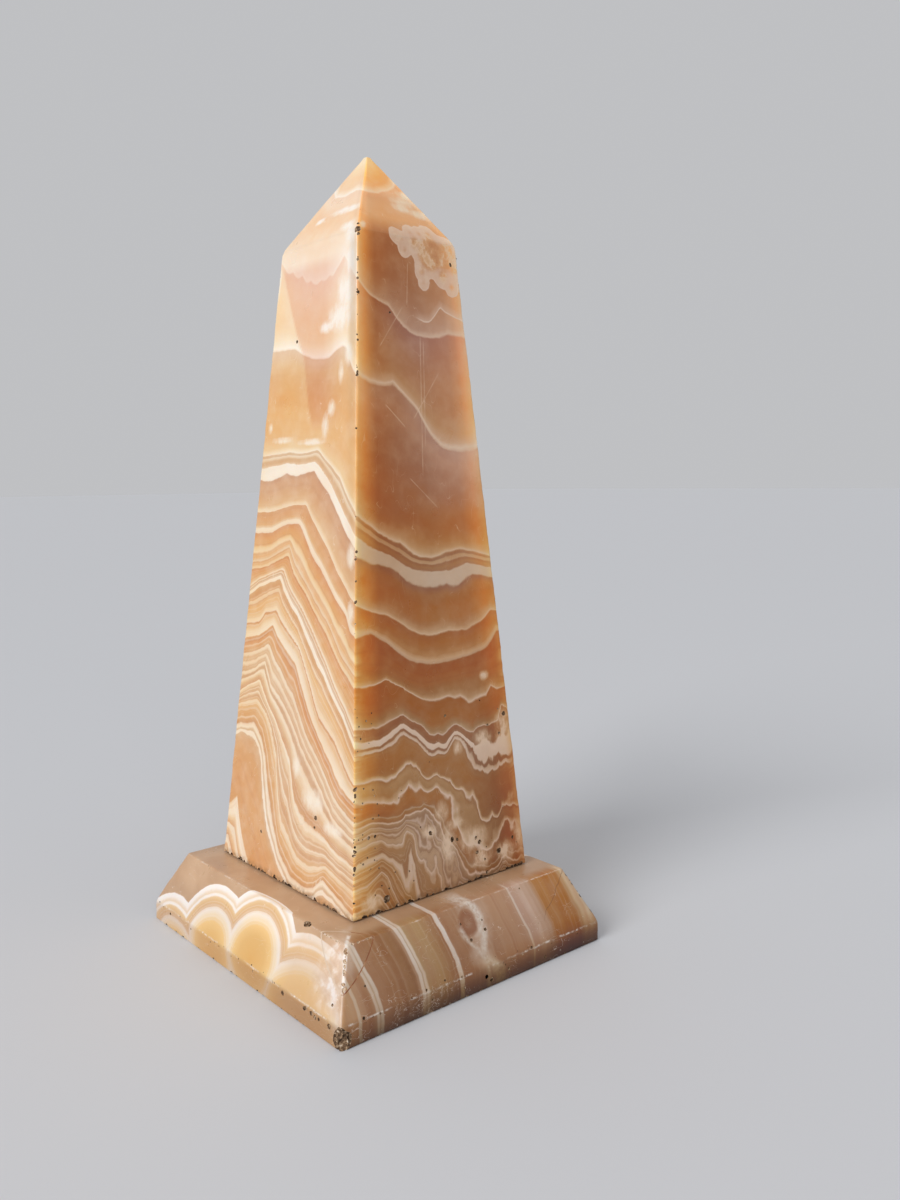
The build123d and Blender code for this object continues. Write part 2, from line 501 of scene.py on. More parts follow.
def shaft_places(points):
    """which face each point lies on, how far across it, and its height in mm"""
    half = np.interp(points[:, 2], (foot, shoulder, tip), (foot_side / 2, head_side / 2, 1.5 * mm))
    along_x, along_y = ((points[:, :2] - np.array(shaft_middle[:2])) / half[:, None]).T
    face = np.where(
        np.abs(along_x) > np.abs(along_y),
        np.where(along_x < 0, "left", "far right"),
        np.where(along_y < 0, "right", "far left"),
    )
    across = np.select(
        [face == "left", face == "right", face == "far right"], [-along_y, along_x, -along_y], along_x
    )
    return face, np.clip(across, -1, 1), points[:, 2] / mm, half / mm


# %% [markdown]
# More is painted on the vertices.  `glow` is painted light and shade, multiplied into the colour: the light that
# comes through the stone, golden near the lit arrises, painted shade in brown in the middle of the shaded face,
# with amber gathered in spots and a brighter cap.  `shade` is 1 on the shaded faces, where it brings in darker
# band colours as painted shade, and `swirl` lets the layers curl above their foot.  A paling attribute paints
# light on the lit face, most towards its top, and on the cap of the shaded face.  `blush` is how far the stone is
# tinted pink, and `cloud` marks milky patches.  `blot` is the distance in mm from a flower-shaped growth, less
# than nothing inside it.  `chevron` is the height above one more line on the shaded face, and `chevron_share`
# says how clearly that line shows.

# %% List the light and the patches of each face
# painted light and shade: the colour of the light on each face, near white on the lit left face, brown on the shaded
# right one and golden near its lit arris
face_glow = {
    "left": [(-1, "#FFFCF4"), (-0.8, "#FFFFFF"), (0.8, "#FFFFFF"), (0.9, "#F9F8F6"), (1, "#FFFCF4")],
    "right": [(-1, "#FFF6E0"), (-0.95, "#FFE8B4"), (-0.86, "#F4C67E"), (-0.68, "#C49055"), (-0.4, "#BE967C"),
              (0.1, "#C4A8A0"), (0.6, "#DABCB4"), (0.82, "#FFDCC4"), (0.92, "#FFEBD4"), (1, "#FFF6EA")],
    "foot of the right": [(-1, "#FFF0D4"), (-0.9, "#EAD0A6"), (-0.7, "#BBA087"), (-0.3, "#BAA69C"),
                          (0.3, "#B59F95"), (0.7, "#A2856E"), (0.9, "#BA8A5C"), (1, "#D8B088")],
}

# face, place across, height, reach across in mm, reach up in mm
clouds = [
    ("left", 0.84, 515, 6, 12), ("left", 0.75, 522, 9, 4), ("left", 0.66, 461, 15, 10), ("left", 0.75, 478, 9, 14),
    ("left", 0.85, 497, 6, 14), ("left", 0.35, 456, 9, 4), ("left", 0.6, 537, 20, 3), ("left", -0.35, 534, 5, 2.5),
    ("left", 0.85, 435, 5, 7), ("left", 0.68, 424, 3, 8), ("left", 0.5, 400, 4.5, 6), ("left", 0.38, 388, 4, 9),
    ("left", -0.55, 380, 14, 2.5), ("left", -0.85, 389, 3, 4), ("left", 0.1, 377.5, 18, 2.2),
    ("left", 0.4, 126, 13, 9), ("left", 0.12, 146, 5, 8), ("left", 0.93, 300, 5, 9), ("left", 0.93, 262, 4, 8),
    ("left", -0.98, 495, 3, 16), ("left", 0.7, 112, 12, 5),
    ("right", 0.6, 161, 12, 7), ("right", 0.9, 165, 9, 16), ("right", 0.85, 158, 8, 8), ("right", 0.26, 157, 5, 6),
    ("right", 0.05, 90, 10, 15), ("right", -0.15, 102, 9, 5), ("right", 0.0, 113, 7, 9), ("right", 0.35, 88, 17, 10),
    ("right", 0.45, 72, 12, 9), ("right", 0.75, 72, 12, 10), ("right", 0.15, 103, 11, 5), ("right", 0.95, 80, 8, 13),
    ("right", 0.5, 546, 13, 4), ("right", 0.25, 541, 9, 3.5), ("right", 0.8, 538, 12, 4), ("right", 0.85, 552, 8, 4),
    ("right", 0.7, 206, 5, 4),
    ("right", -0.9, 521, 3, 3), ("right", -0.8, 66, 10, 8),
    ("far right", 0.3, 420, 20, 22), ("far right", -0.4, 150, 22, 16), ("far left", -0.2, 250, 18, 14),
    ("far left", 0.4, 100, 24, 14), ("far left", 0.2, 520, 12, 10),
]

# centre across and up and radius, in mm from the middle of the -Y face, of the balls that make up the flower
petals = [
    (-11, 517.5, 6), (-6.5, 516, 6), (-4, 508.5, 6), (4, 521.5, 6), (12.5, 522, 6), (21, 521, 8.5), (6, 514, 9),
    (20, 508, 17), (34, 508, 15), (42, 500, 9), (12, 487.5, 5.5), (11, 495, 7), (31, 494, 9), (39, 487, 7),
]

# a second, fainter line on the shaded face, as (place across, height)
chevron = [(0.05, 463), (0.2, 460.5), (0.32, 461), (0.45, 467), (0.54, 472), (0.64, 469), (0.8, 466.5), (1, 464)]

# where the painted light through the stone gathers amber: face, place across, height, reach across in mm,
# reach up in mm, strength (below nothing where it thins out)
amber = [
    ("right", -0.65, 497, 15, 18, 1), ("right", -0.8, 380, 12, 36, 1), ("right", -0.8, 215, 12, 34, 1),
    ("right", 0.95, 215, 22, 70, 1), ("right", -0.6, 560, 16, 11, 1), ("right", -0.65, 530, 14, 12, 1),
    ("right", 0.1, 215, 40, 14, 1), ("right", 0.85, 110, 16, 40, 1), ("right", 0.2, 318, 60, 14, 1),
    ("right", -0.52, 398, 20, 22, 1), ("right", -0.2, 445, 26, 26, -0.9), ("right", -0.78, 201, 14, 9, 0.5),
    ("right", -0.7, 131, 14, 7, 1), ("left", -0.55, 415, 26, 28, 0.7), ("left", 0.75, 410, 12, 26, 0.35),
    ("left", -0.85, 480, 12, 26, 0.45), ("left", -0.75, 230, 34, 90, 0.45),
]


# %% Measure how near each point is to a spot
def from_ramp(stops, across):
    """linear colours read off a short list of (place, hex colour)"""
    at = [place for place, _ in stops]
    colours = np.array([linear(colour)[:3] for _, colour in stops])
    return np.stack([np.interp(across, at, colours[:, i]) for i in range(3)], axis=1)


def set_attribute(mesh, name, values):
    """stores one number or one colour for each vertex"""
    if values.ndim == 1:
        mesh.attributes.new(name, "FLOAT", "POINT").data.foreach_set("value", values.astype(np.float32))
    else:
        rgba = np.concatenate([values, np.ones((len(values), 1))], axis=1)
        mesh.attributes.new(name, "FLOAT_COLOR", "POINT").data.foreach_set("color", rgba.ravel().astype(np.float32))


def rise(value, start, span):
    """0 as far as start, 1 from a span further on; with a span below nothing it runs the other way"""
    return np.clip((value - start) / span, 0, 1)


def around(places, side, at, up, wide, tall, speed=1.0):
    """1 in the middle of a spot on one face, fading outwards; 0 on every other face"""
    face, across, height, half = places
    away = ((across - at) * half / wide) ** 2 + ((height - up) / tall) ** 2
    return np.where(face == side, np.exp(-speed * away), 0)


# %% Paint the stone's attributes
def is_shaded(face):
    return np.isin(face, ["right", "far left"])


def paint_layers(mesh, points, places):
    face, across, height, _ = places
    astray = np.where(np.isin(face, ["far left", "far right"]), 1 - across ** 2, 0)
    strayed = height + astray * 26 * drift(points, 90 * mm, 5)
    front_left = np.isin(face, ["left", "far left"])
    set_attribute(mesh, "layer", np.where(front_left, layers_on(1, across, strayed), layers_on(2, across, strayed)))
    set_attribute(mesh, "swirl", np.where(is_shaded(face), rise(height, 190, -60) * rise(across, -0.75, 0.4), 0))


def paint_light(mesh, places):
    """painted light and shade: each point's light from inside, how shaded it is, and how much light pales it"""
    face, across, height, _ = places
    shaded = is_shaded(face)
    # painted light and shade: near-white light on the lit faces, brown light on the shaded ones
    tint = np.where(shaded[:, None], from_ramp(face_glow["right"], across), from_ramp(face_glow["left"], across))
    footward = np.where(shaded, rise(height, 330, -230), 0)[:, None]
    tint = tint + footward * (from_ramp(face_glow["foot of the right"], across) - tint)
    # painted light: the lit face's light turns yellower below 440 mm, the shaded face's warmer below 330 mm
    low = rise(height, 440, -30)[:, None]
    tint = tint * np.where(shaded[:, None], 1, 1 - low * np.array([0.04, 0.09, 0.17]))
    low = rise(height, 330, -25)[:, None]
    tint = tint * np.where(shaded[:, None], 1 + low * np.array([0.09, 0.08, -0.17]), 1)
    # painted shade: the lit face is dimmed beside its front arris from 425 to 520 mm up
    painted_dimming = np.interp(height, (425, 445, 508, 520), (0, 0.15, 0.15, 0)) * rise(across, 0.8, 0.08)
    tint = tint * np.where(shaded, 1, 1 - painted_dimming)[:, None]
    # painted light: the shaded face brightens at its tip, and beside both arrises above 330 mm
    painted_light_lift = np.interp(height, (438, 455, 505, 516, 545, 555), (1, 0.97, 0.97, 1, 1.02, 1.25))
    painted_light_lift = painted_light_lift * (1 + rise(height, 330, 60) * rise(np.abs(across), 0.76, 0.12) * 0.18)
    tint = tint * np.where(shaded, painted_light_lift, 1)[:, None]
    # painted light: brighter and cooler low on the shaded face
    pale = np.where(face == "right", rise(height, 188, -14) * rise(across, 0.75, -0.4), 0)
    tint = tint * (1 + pale[:, None] * np.array([0.1, 0.17, 0.25]))
    # the painted light turns amber in the listed spots
    for *spot, strength in amber:
        tint = tint * (1 - (around(places, *spot) * strength)[:, None] * np.array([0, 0.13, 0.42]))
    # painted light on the cap of the shaded faces
    capward = np.where(shaded, rise(height, 516, 14), 0)
    capped = np.array(linear("#FFECD2")[:3]) * painted_light_lift[:, None]
    set_attribute(mesh, "glow", tint + capward[:, None] * (capped - tint))
    # `shade` is the share of the darker band colours that are painted as shade
    set_attribute(mesh, "shade", np.where(shaded, 1 - capward * 0.7, 0) * rise(np.abs(across), 1.02, -0.12))
    # painted light that pales the cap of the shaded faces, and the lit face most towards its top
    painted_light_on_cap = capward * rise(height, 556, -8) * np.clip(across + 0.3, 0, 0.7) * 0.25
    painted_light_on_left = np.interp(height, (425, 450, 480, 515, 525, 582), (0.1, 0.26, 0.44, 0.44, 0.26, 0.3))
    set_attribute(mesh, "painted_paling", np.where(shaded, painted_light_on_cap, painted_light_on_left))


def paint_patches(mesh, places):
    """clouds, the flower, the line beside it, and the blush on the left face"""
    face, across, height, half = places
    milk = np.zeros(len(height))
    for side, at, up, wide, tall in clouds:
        strength = 0.88 if side == "right" and up < 200 else 1
        milk = np.maximum(milk, around(places, side, at, up, wide, tall, 0.8) * strength)
    set_attribute(mesh, "cloud", milk)

    reach = [np.hypot(across * half - at, height - up) - radius for at, up, radius in petals]
    flower = -np.log(np.sum(np.exp(-np.clip(reach, -60, 60)), axis=0))
    set_attribute(mesh, "blot", np.where(face == "right", flower, 60.0))
    set_attribute(mesh, "chevron", height - np.interp(across, *zip(*chevron)))
    set_attribute(mesh, "chevron_share", np.where(face == "right", rise(across, 0.02, 0.15), 0.0))

    split = np.interp(height, (385, 400, 437, 450, 498, 510), (0.12, 0, -0.18, -0.35, -0.85, -1.0))
    beside = rise((across - split) * half, 0, 1.6)
    fade = rise(height, 385, 10) * rise(height, 506, -8) * rise(across, 0.75, -0.5)
    set_attribute(mesh, "blush", np.where(face == "left", beside * fade, 0))


def paint_shaft(mesh):
    points = coordinates(mesh)
    places = shaft_places(points)
    paint_layers(mesh, points, places)
    paint_light(mesh, places)
    paint_patches(mesh, places)


# %% [markdown]
# ## Calcite onyx, ground and polished
# Calcite onyx is pale and lets light in, so its colour comes from below the surface: the clear layers are
# golden to brown and the milky ones nearly white.  The veins are read off the layer number by colour ramps.
# A ramp takes at most 32 colours, so one list of bands is shared out over several ramps side by side.

# %% List the bands from the foot to the tip
bands = [
    (-40, "#E3B27E"), (-34, "#F7EBDC"), (-31.5, "#D9A470"), (-27, "#F9EFE2"), (-23, "#F9EFE2"), (-22.4, "#DBA672"),
    (-18, "#F4E2CC"), (-15, "#E0AE7A"), (-12, "#FAF0E4"), (-7, "#FAF0E4"), (-6.4, "#D8A068"), (-2, "#EBC79C"),
    (1, "#F8ECDD"), (4, "#F9EEE0"), (4.6, "#D9A26A"), (9, "#F0D4B0"), (12, "#FAF0E4"), (18.5, "#FAF0E4"),
    (20, "#F3DDC0"), (21, "#D9A062"), (30, "#D99D5C"), (42, "#DCA264"), (52, "#DAA468"), (57, "#D8AA7C"),
    (58.8, "#DCB892"), (59.3, "#F8ECE0"), (61.3, "#FAF1E8"), (62, "#D9B896"), (63.5, "#DDBD9A"), (64.4, "#F8ECDE"),
    (66.5, "#F5E4D0"), (67.3, "#D39E66"), (70, "#D89F5F"), (76, "#DCA665"), (80, "#E6BE8C"), (81.2, "#F6E6D0"),
    (82.5, "#F4E2CA"), (83.4, "#DCAE7C"), (87, "#D9AC80"), (89.4, "#E0BA90"), (90.2, "#F5E6D4"), (91.2, "#DAB088"),
    (95, "#DDB68E"), (98, "#EBCDA8"), (99.3, "#F8ECDC"), (100.5, "#F6E6D2"), (101.3, "#DAAA7A"), (104, "#D8A878"),
    (107, "#E6C7A2"), (109.5, "#F4E4D2"), (111, "#F3E1CC"), (111.8, "#D8B28C"), (114, "#DBB896"),
    (115.5, "#F2E0CC"), (116.6, "#F4E4D4"), (117.4, "#D9B28C"), (119.5, "#D8B08A"), (121, "#F0DCC6"),
    (122, "#F3E2CE"), (123, "#DAB48E"), (125, "#DEB892"), (126.5, "#F3E3D0"), (128, "#F5E8D8"), (129, "#D8A878"),
    (132, "#DBA36A"), (137, "#D9985A"), (140, "#D08E4E"), (140.8, "#DDA46C"), (141.5, "#F7E9D8"),
    (144.5, "#F5E5D2"), (147.5, "#EBCBA4"), (150, "#DCA364"), (151.4, "#D89C5E"), (152, "#FAEEDF"),
    (153.4, "#F6E3CC"), (157, "#F0D6B0"), (160, "#E8BC84"), (164, "#E7B878"), (167, "#E2AF74"), (168, "#EFD3B0"),
    (169.4, "#F2DABC"), (170.2, "#D8A26A"), (174, "#D9A56C"), (175.6, "#D7A470"), (176.3, "#FAEFE2"),
    (179.5, "#FCF4EA"), (180.6, "#D8B08A"), (182.5, "#DAB590"), (183.4, "#F6E8D8"), (184.4, "#E2BC94"),
    (186, "#D8A67A"), (187, "#F6E4D0"), (189, "#F3DEC4"), (192, "#E7BF90"), (197, "#E2AE70"), (204, "#DE9F58"),
    (210, "#DA9650"), (213.2, "#D28C4A"), (214, "#EFD2AA"), (216, "#F0D4AE"), (218, "#E5B67C"), (221.2, "#DFAA70"),
    (222, "#F5E2C6"), (223.4, "#F1D8B4"), (226, "#E4B074"), (229, "#EAC190"), (231, "#F3DEBE"), (234, "#EFD0A0"),
    (237, "#E3AC68"), (243, "#DE9F5C"), (247.2, "#D48E50"), (248, "#F7E8D6"), (252.5, "#F6E6D2"), (254, "#EACBA4"),
    (256, "#DFAC72"), (262, "#DCA268"), (269.2, "#D59A64"), (270, "#F6E4CC"), (271.8, "#F3DEC2"), (275, "#E7C296"),
    (281, "#DDAF80"), (290, "#D6A478"), (298, "#D3A078"), (303.2, "#CC9874"), (304, "#FBF3EA"), (311, "#FCF5EE"),
    (312, "#E6C4A0"), (315, "#D9AE80"), (319, "#D9B185"), (321, "#E8CDAE"), (323.5, "#F0DFCA"), (324.5, "#D9B896"),
    (326.8, "#DBB892"), (328, "#FAEFE0"), (330, "#F6E3C6"), (333, "#EFD0A0"), (340, "#EBC088"), (350, "#E9B87A"),
    (364, "#E9B97C"), (376, "#E6B274"), (392, "#E2B27C"), (406, "#E2B886"), (418.8, "#DFBA98"), (419.6, "#F4E2D2"),
    (421, "#FDF6EC"), (424, "#FAEBD6"), (429, "#F6DDB8"), (436, "#F2CC96"), (448, "#F0C48A"), (462, "#F0C490"),
    (476, "#EDBE94"), (482.4, "#EBB994"), (484, "#F8E6D6"), (487, "#F6E0CE"), (494, "#F3D4B6"), (506, "#F0C79A"),
    (518, "#F1C088"), (526, "#EFB878"), (534, "#EDB87E"), (541, "#F0C59A"), (548.8, "#ECBE94"), (550, "#FBEAD8"),
    (552, "#F5D8B4"), (555, "#EDB878"), (561, "#F0BA70"), (568, "#F5CB86"), (573, "#F7D79C"), (582, "#F8DCA8"),
]

# on the shaded face the veins are thinner, and the clear layers between them are painted darker and more amber as
# shade
shaded_bands = [
    (-40, "#DDB388"), (0, "#DDB388"), (12, "#E8DADA"), (14, "#D9B08A"), (28, "#E0BC94"), (44, "#D9AA78"),
    (57, "#E0BE98"), (58.8, "#F2E8E8"), (60.6, "#E8DAD8"), (61.6, "#D6AC84"), (65.4, "#E2C09A"), (66.6, "#F2E8E8"),
    (68, "#D8A468"), (75, "#D79E5C"), (80.5, "#E0B88A"), (82, "#F2E8E8"), (83.6, "#D4A674"), (90, "#D8A462"),
    (96.5, "#E2BE94"), (99, "#F2E8E8"), (100.8, "#E6D4CC"), (101.8, "#D0A47C"), (106.5, "#DCB48A"),
    (108.6, "#F2E8E6"), (109.6, "#CDA68A"), (112.6, "#D8B8A0"), (113.6, "#F2E8E8"), (114.6, "#CFAC94"),
    (117, "#D8BAA4"), (118.2, "#E8DADA"), (119.4, "#CCA88E"), (122, "#DABCA4"), (123.4, "#F6ECEC"),
    (124.8, "#CE9A66"), (127.4, "#D8A870"), (128.4, "#E6D0C0"), (129.6, "#D0965A"), (134, "#D8943F"),
    (139, "#DB9E50"), (140.4, "#F6ECEC"), (142, "#E9D2B8"), (144.5, "#DDB688"), (148.5, "#E0BA8C"),
    (151, "#D6A874"), (152, "#F8F0F0"), (153.3, "#EAD0B0"), (154.8, "#D6A060"), (158, "#D69C50"), (164, "#D89E56"),
    (168, "#DCAC74"), (169.8, "#D4A474"), (170.8, "#F2E8E6"), (172.6, "#EEE0D6"), (173.4, "#C89C80"),
    (174.6, "#C89C80"), (175.4, "#F4ECEA"), (178.8, "#F8F0EE"), (179.8, "#C49470"), (183.6, "#C89064"),
    (186, "#C8926A"), (187, "#F2E6E2"), (188.4, "#DEC4A6"), (191, "#D8B488"), (196, "#DA9E56"), (204, "#DA952E"),
    (212.8, "#D8953A"), (214, "#F6ECE6"), (215.4, "#E8CEAE"), (218, "#DEB684"), (222, "#DCA968"), (226, "#DC9F56"),
    (236, "#DA9440"), (246.6, "#D38C42"), (248, "#EEDCCE"), (250, "#F2DEC6"), (254, "#EAC28C"), (262, "#E4A650"),
    (268.8, "#DA9648"), (270.2, "#F6E6D2"), (273, "#EACCA8"), (280, "#E6AE66"), (290, "#E09F48"), (298, "#DAA260"),
    (303, "#C99A80"), (304.2, "#ECE3DA"), (310.6, "#ECE4DC"), (311.8, "#D6AE8C"), (315, "#DCB484"),
    (318.5, "#D2A47C"), (320, "#EBD4B8"), (323, "#E8CCAA"), (324.4, "#CCA280"), (326.4, "#D4A880"),
    (328, "#F6EADA"), (331, "#EED2A8"), (337, "#E8BC80"), (348, "#E2A65C"), (362, "#E6B070"), (376, "#E3B486"),
    (392, "#E4BC98"), (406, "#EBC8AC"), (418.6, "#E6C8B4"), (419.8, "#F4E4D4"), (421.6, "#FBF2E8"),
    (424, "#F4DEC2"), (430, "#F0CE9C"), (442, "#EDC08A"), (456, "#ECBC88"), (472, "#E8B890"), (482.6, "#E4B290"),
    (483.8, "#F8EADC"), (486, "#EED2B8"), (492, "#EBC6A0"), (502, "#EABB86"), (514, "#ECB676"), (528, "#EFB878"),
    (541, "#EDBA86"), (548.6, "#EAB890"), (550, "#FBEAD8"), (552, "#F2D0A8"), (556, "#ECB46C"), (564, "#F0B85E"),
    (573, "#F4C878"), (582, "#F6D28C"),
]


# %% Write shader sums as sums
class Number:
    """a number inside a shader; adding, multiplying and so on add a Math node"""

    def __init__(self, socket):
        self.socket = socket

    def math(self, operation, *others, flip=False):
        tree = self.socket.id_data
        order = [*others, self] if flip else [self, *others]
        return Number(add_node(tree, "ShaderNodeMath", dict(enumerate(order)), operation=operation).outputs[0])

    def __add__(self, other):
        return self.math("ADD", other)

    def __sub__(self, other):
        return self.math("SUBTRACT", other)

    def __rsub__(self, other):
        return self.math("SUBTRACT", other, flip=True)

    def __mul__(self, other):
        return self.math("MULTIPLY", other)

    def __truediv__(self, other):
        return self.math("DIVIDE", other)

    def __pow__(self, other):
        return self.math("POWER", other)

    def __abs__(self):
        return self.math("ABSOLUTE")

    def least(self, other):
        return self.math("MINIMUM", other)

    def most(self, other):
        return self.math("MAXIMUM", other)

    def rescale(self, start, end, low=0.0, high=1.0, smooth=False):
        """start becomes low and end becomes high, with nothing outside them"""
        kind = "SMOOTHSTEP" if smooth else "LINEAR"
        inputs = {0: self, 1: start, 2: end, 3: low, 4: high}
        node = add_node(self.socket.id_data, "ShaderNodeMapRange", inputs, interpolation_type=kind)
        return Number(node.outputs[0])


def blend(share, first, second, how="MIX"):
    """mixes two colours by a share; of the Mix node's many sockets, 6, 7 and output 2 are the coloured ones"""
    first, second = (linear(given) if isinstance(given, str) else given for given in (first, second))
    inputs = {0: share, 6: first, 7: second}
    tree = tree_of(share, first, second)
    return add_node(tree, "ShaderNodeMix", inputs, data_type="RGBA", blend_type=how).outputs[2]


def coats(colour, *layers, how="MIX"):
    """lays tones over a colour one after another, each by its own share"""
    for share, tone in layers:
        colour = blend(share, colour, tone, how)
    return colour


def ramp(share, stops):
    """a colour ramp over (place from 0 to 1, hex colour) stops"""
    node = add_node(tree_of(share), "ShaderNodeValToRGB", {0: share})
    elements = node.color_ramp.elements
    while len(elements) < len(stops):
        elements.new(0.5)
    for element, (place, colour) in zip(elements, stops):
        element.position = place
        element.color = linear(colour)
    return node.outputs[0]


def banded(layer, stops, widest=90, most=30):
    """colours a layer number by a long list of bands, with as many ramps as it takes"""
    first = 0
    colour = None
    while first < len(stops) - 1:
        last = first
        while last + 1 < len(stops) and last + 1 - first < most and stops[last + 1][0] - stops[first][0] < widest:
            last += 1
        low, high = stops[first][0], stops[last][0]
        inside = [((at - low) / (high - low), tone) for at, tone in stops[first:last + 1]]
        window = ramp(layer.rescale(low, high), inside)
        colour = window if colour is None else blend(layer.math("GREATER_THAN", low), colour, window)
        first = last
    return colour


# %% Make the patterns that the stones share
def attribute(tree, name):
    return Number(add_node(tree, "ShaderNodeAttribute", attribute_name=name).outputs["Fac"])


def spots(place, size, detail=2.0, rough=0.5):
    """noise from 0 to 1 with swells about size long, in metres"""
    inputs = {"Vector": place, "Scale": 1 / size, "Detail": detail, "Roughness": rough}
    return Number(add_node(tree_of(place), "ShaderNodeTexNoise", inputs).outputs["Fac"])


def trembling(place, size, reach):
    """noise from about -reach to reach"""
    return (spots(place, size) - 0.5) * (2 * reach)


def squeezed(place, along):
    """a place whose x, y and z are shortened, which stretches a pattern by as much"""
    return add_node(tree_of(place), "ShaderNodeVectorMath", {0: place, 1: along}, operation="MULTIPLY").outputs[0]


def wrinkled(place, layer, lobes, tremble):
    """shifts layer numbers so that the lines hang in small lobes and tremble as grown layers do"""
    squat = squeezed(place, (1, 1, 0.22))
    for size, depth in ((24 * mm, 4.0), (8 * mm, 1.6)):
        cell = add_node(tree_of(place), "ShaderNodeTexVoronoi", {"Vector": squat, "Scale": 1 / size})
        layer = layer - Number(cell.outputs["Distance"]) ** 2.0 * depth * lobes
    return layer + (trembling(place, 16 * mm, 1.4) + trembling(place, 4 * mm, 0.5)) * tremble


def fine_lines(layer, spacing):
    """noise from 0 to 1 that changes only from layer to layer, about spacing mm apart"""
    inputs = {"W": layer / spacing, "Scale": 1.0, "Detail": 2.0}
    return Number(add_node(tree_of(layer), "ShaderNodeTexNoise", inputs, noise_dimensions="1D").outputs["Fac"])


def scuffs(place, along, size=9 * mm):
    """sparse thin marks, 1 on a mark: stretched noise near its middle level, where another noise allows it"""
    line = abs(spots(squeezed(place, along), size, 1.0) - 0.5).rescale(0.006, 0.0)
    return line * spots(place, 15 * mm).rescale(0.5, 0.62)


def polished(colour, place):
    """the surface that every polished piece shares: light enters, wanders in the stone and warms"""
    tree, depth = tree_of(place), 6 * mm
    rubbed = spots(place, 20 * mm, 6.0).rescale(0.3, 0.7, 0.26, 0.42)
    inputs = {"Height": spots(place, 12 * mm), "Strength": 0.06, "Distance": 0.4 * mm}
    swell = add_node(tree, "ShaderNodeBump", inputs).outputs[0]
    inputs = {"Height": spots(place, 0.7 * mm), "Strength": 0.08, "Distance": 0.1 * mm, "Normal": swell}
    grain = add_node(tree, "ShaderNodeBump", inputs).outputs[0]
    finish_surface(tree, {
        "Base Color": colour,
        "Roughness": rubbed,
        "IOR": 1.5,
        "Normal": grain,
        "Subsurface Weight": 0.12,
        "Subsurface Radius": (1.0, 0.7, 0.45),
        "Subsurface Scale": depth,
    })


def milky(colour, place, share, tone="#FAF0E4"):
    """lays a milky patch over the colour, curdled by noise that hangs down a little"""
    curdled = share * spots(squeezed(place, (1, 1, 0.5)), 6 * mm, 6.0, 0.68) * 2.1
    return blend(curdled.rescale(0.34, 0.98, 0.0, 0.92), colour, tone)


def hairline(x, z, start, end, width=0.3):
    """1 on a straight healed crack between two points of a face, in mm across and up"""
    run, rise = end[0] - start[0], end[1] - start[1]
    length = math.hypot(run, rise)
    off = (x - start[0]) * (rise / length) - (z - start[1]) * (run / length)
    along = ((x - start[0]) * run + (z - start[1]) * rise) / length ** 2
    return abs(off).rescale(width + 0.35, width * 0.4) * along.rescale(0, 0.08) * along.rescale(1, 0.92)


# %% Shade the shaft
# straight healed cracks of the -Y face: from and to, in mm across from its middle and up
healed_cracks = [
    ((-2, 500), (-5, 470)), ((-9, 469), (-32, 440)), ((6, 456), (1, 352)), ((8.5, 448), (5, 372)),
    ((-5, 392), (22, 426)), ((-30, 402), (-12, 386)), ((-12, 352), (14, 330)),
]


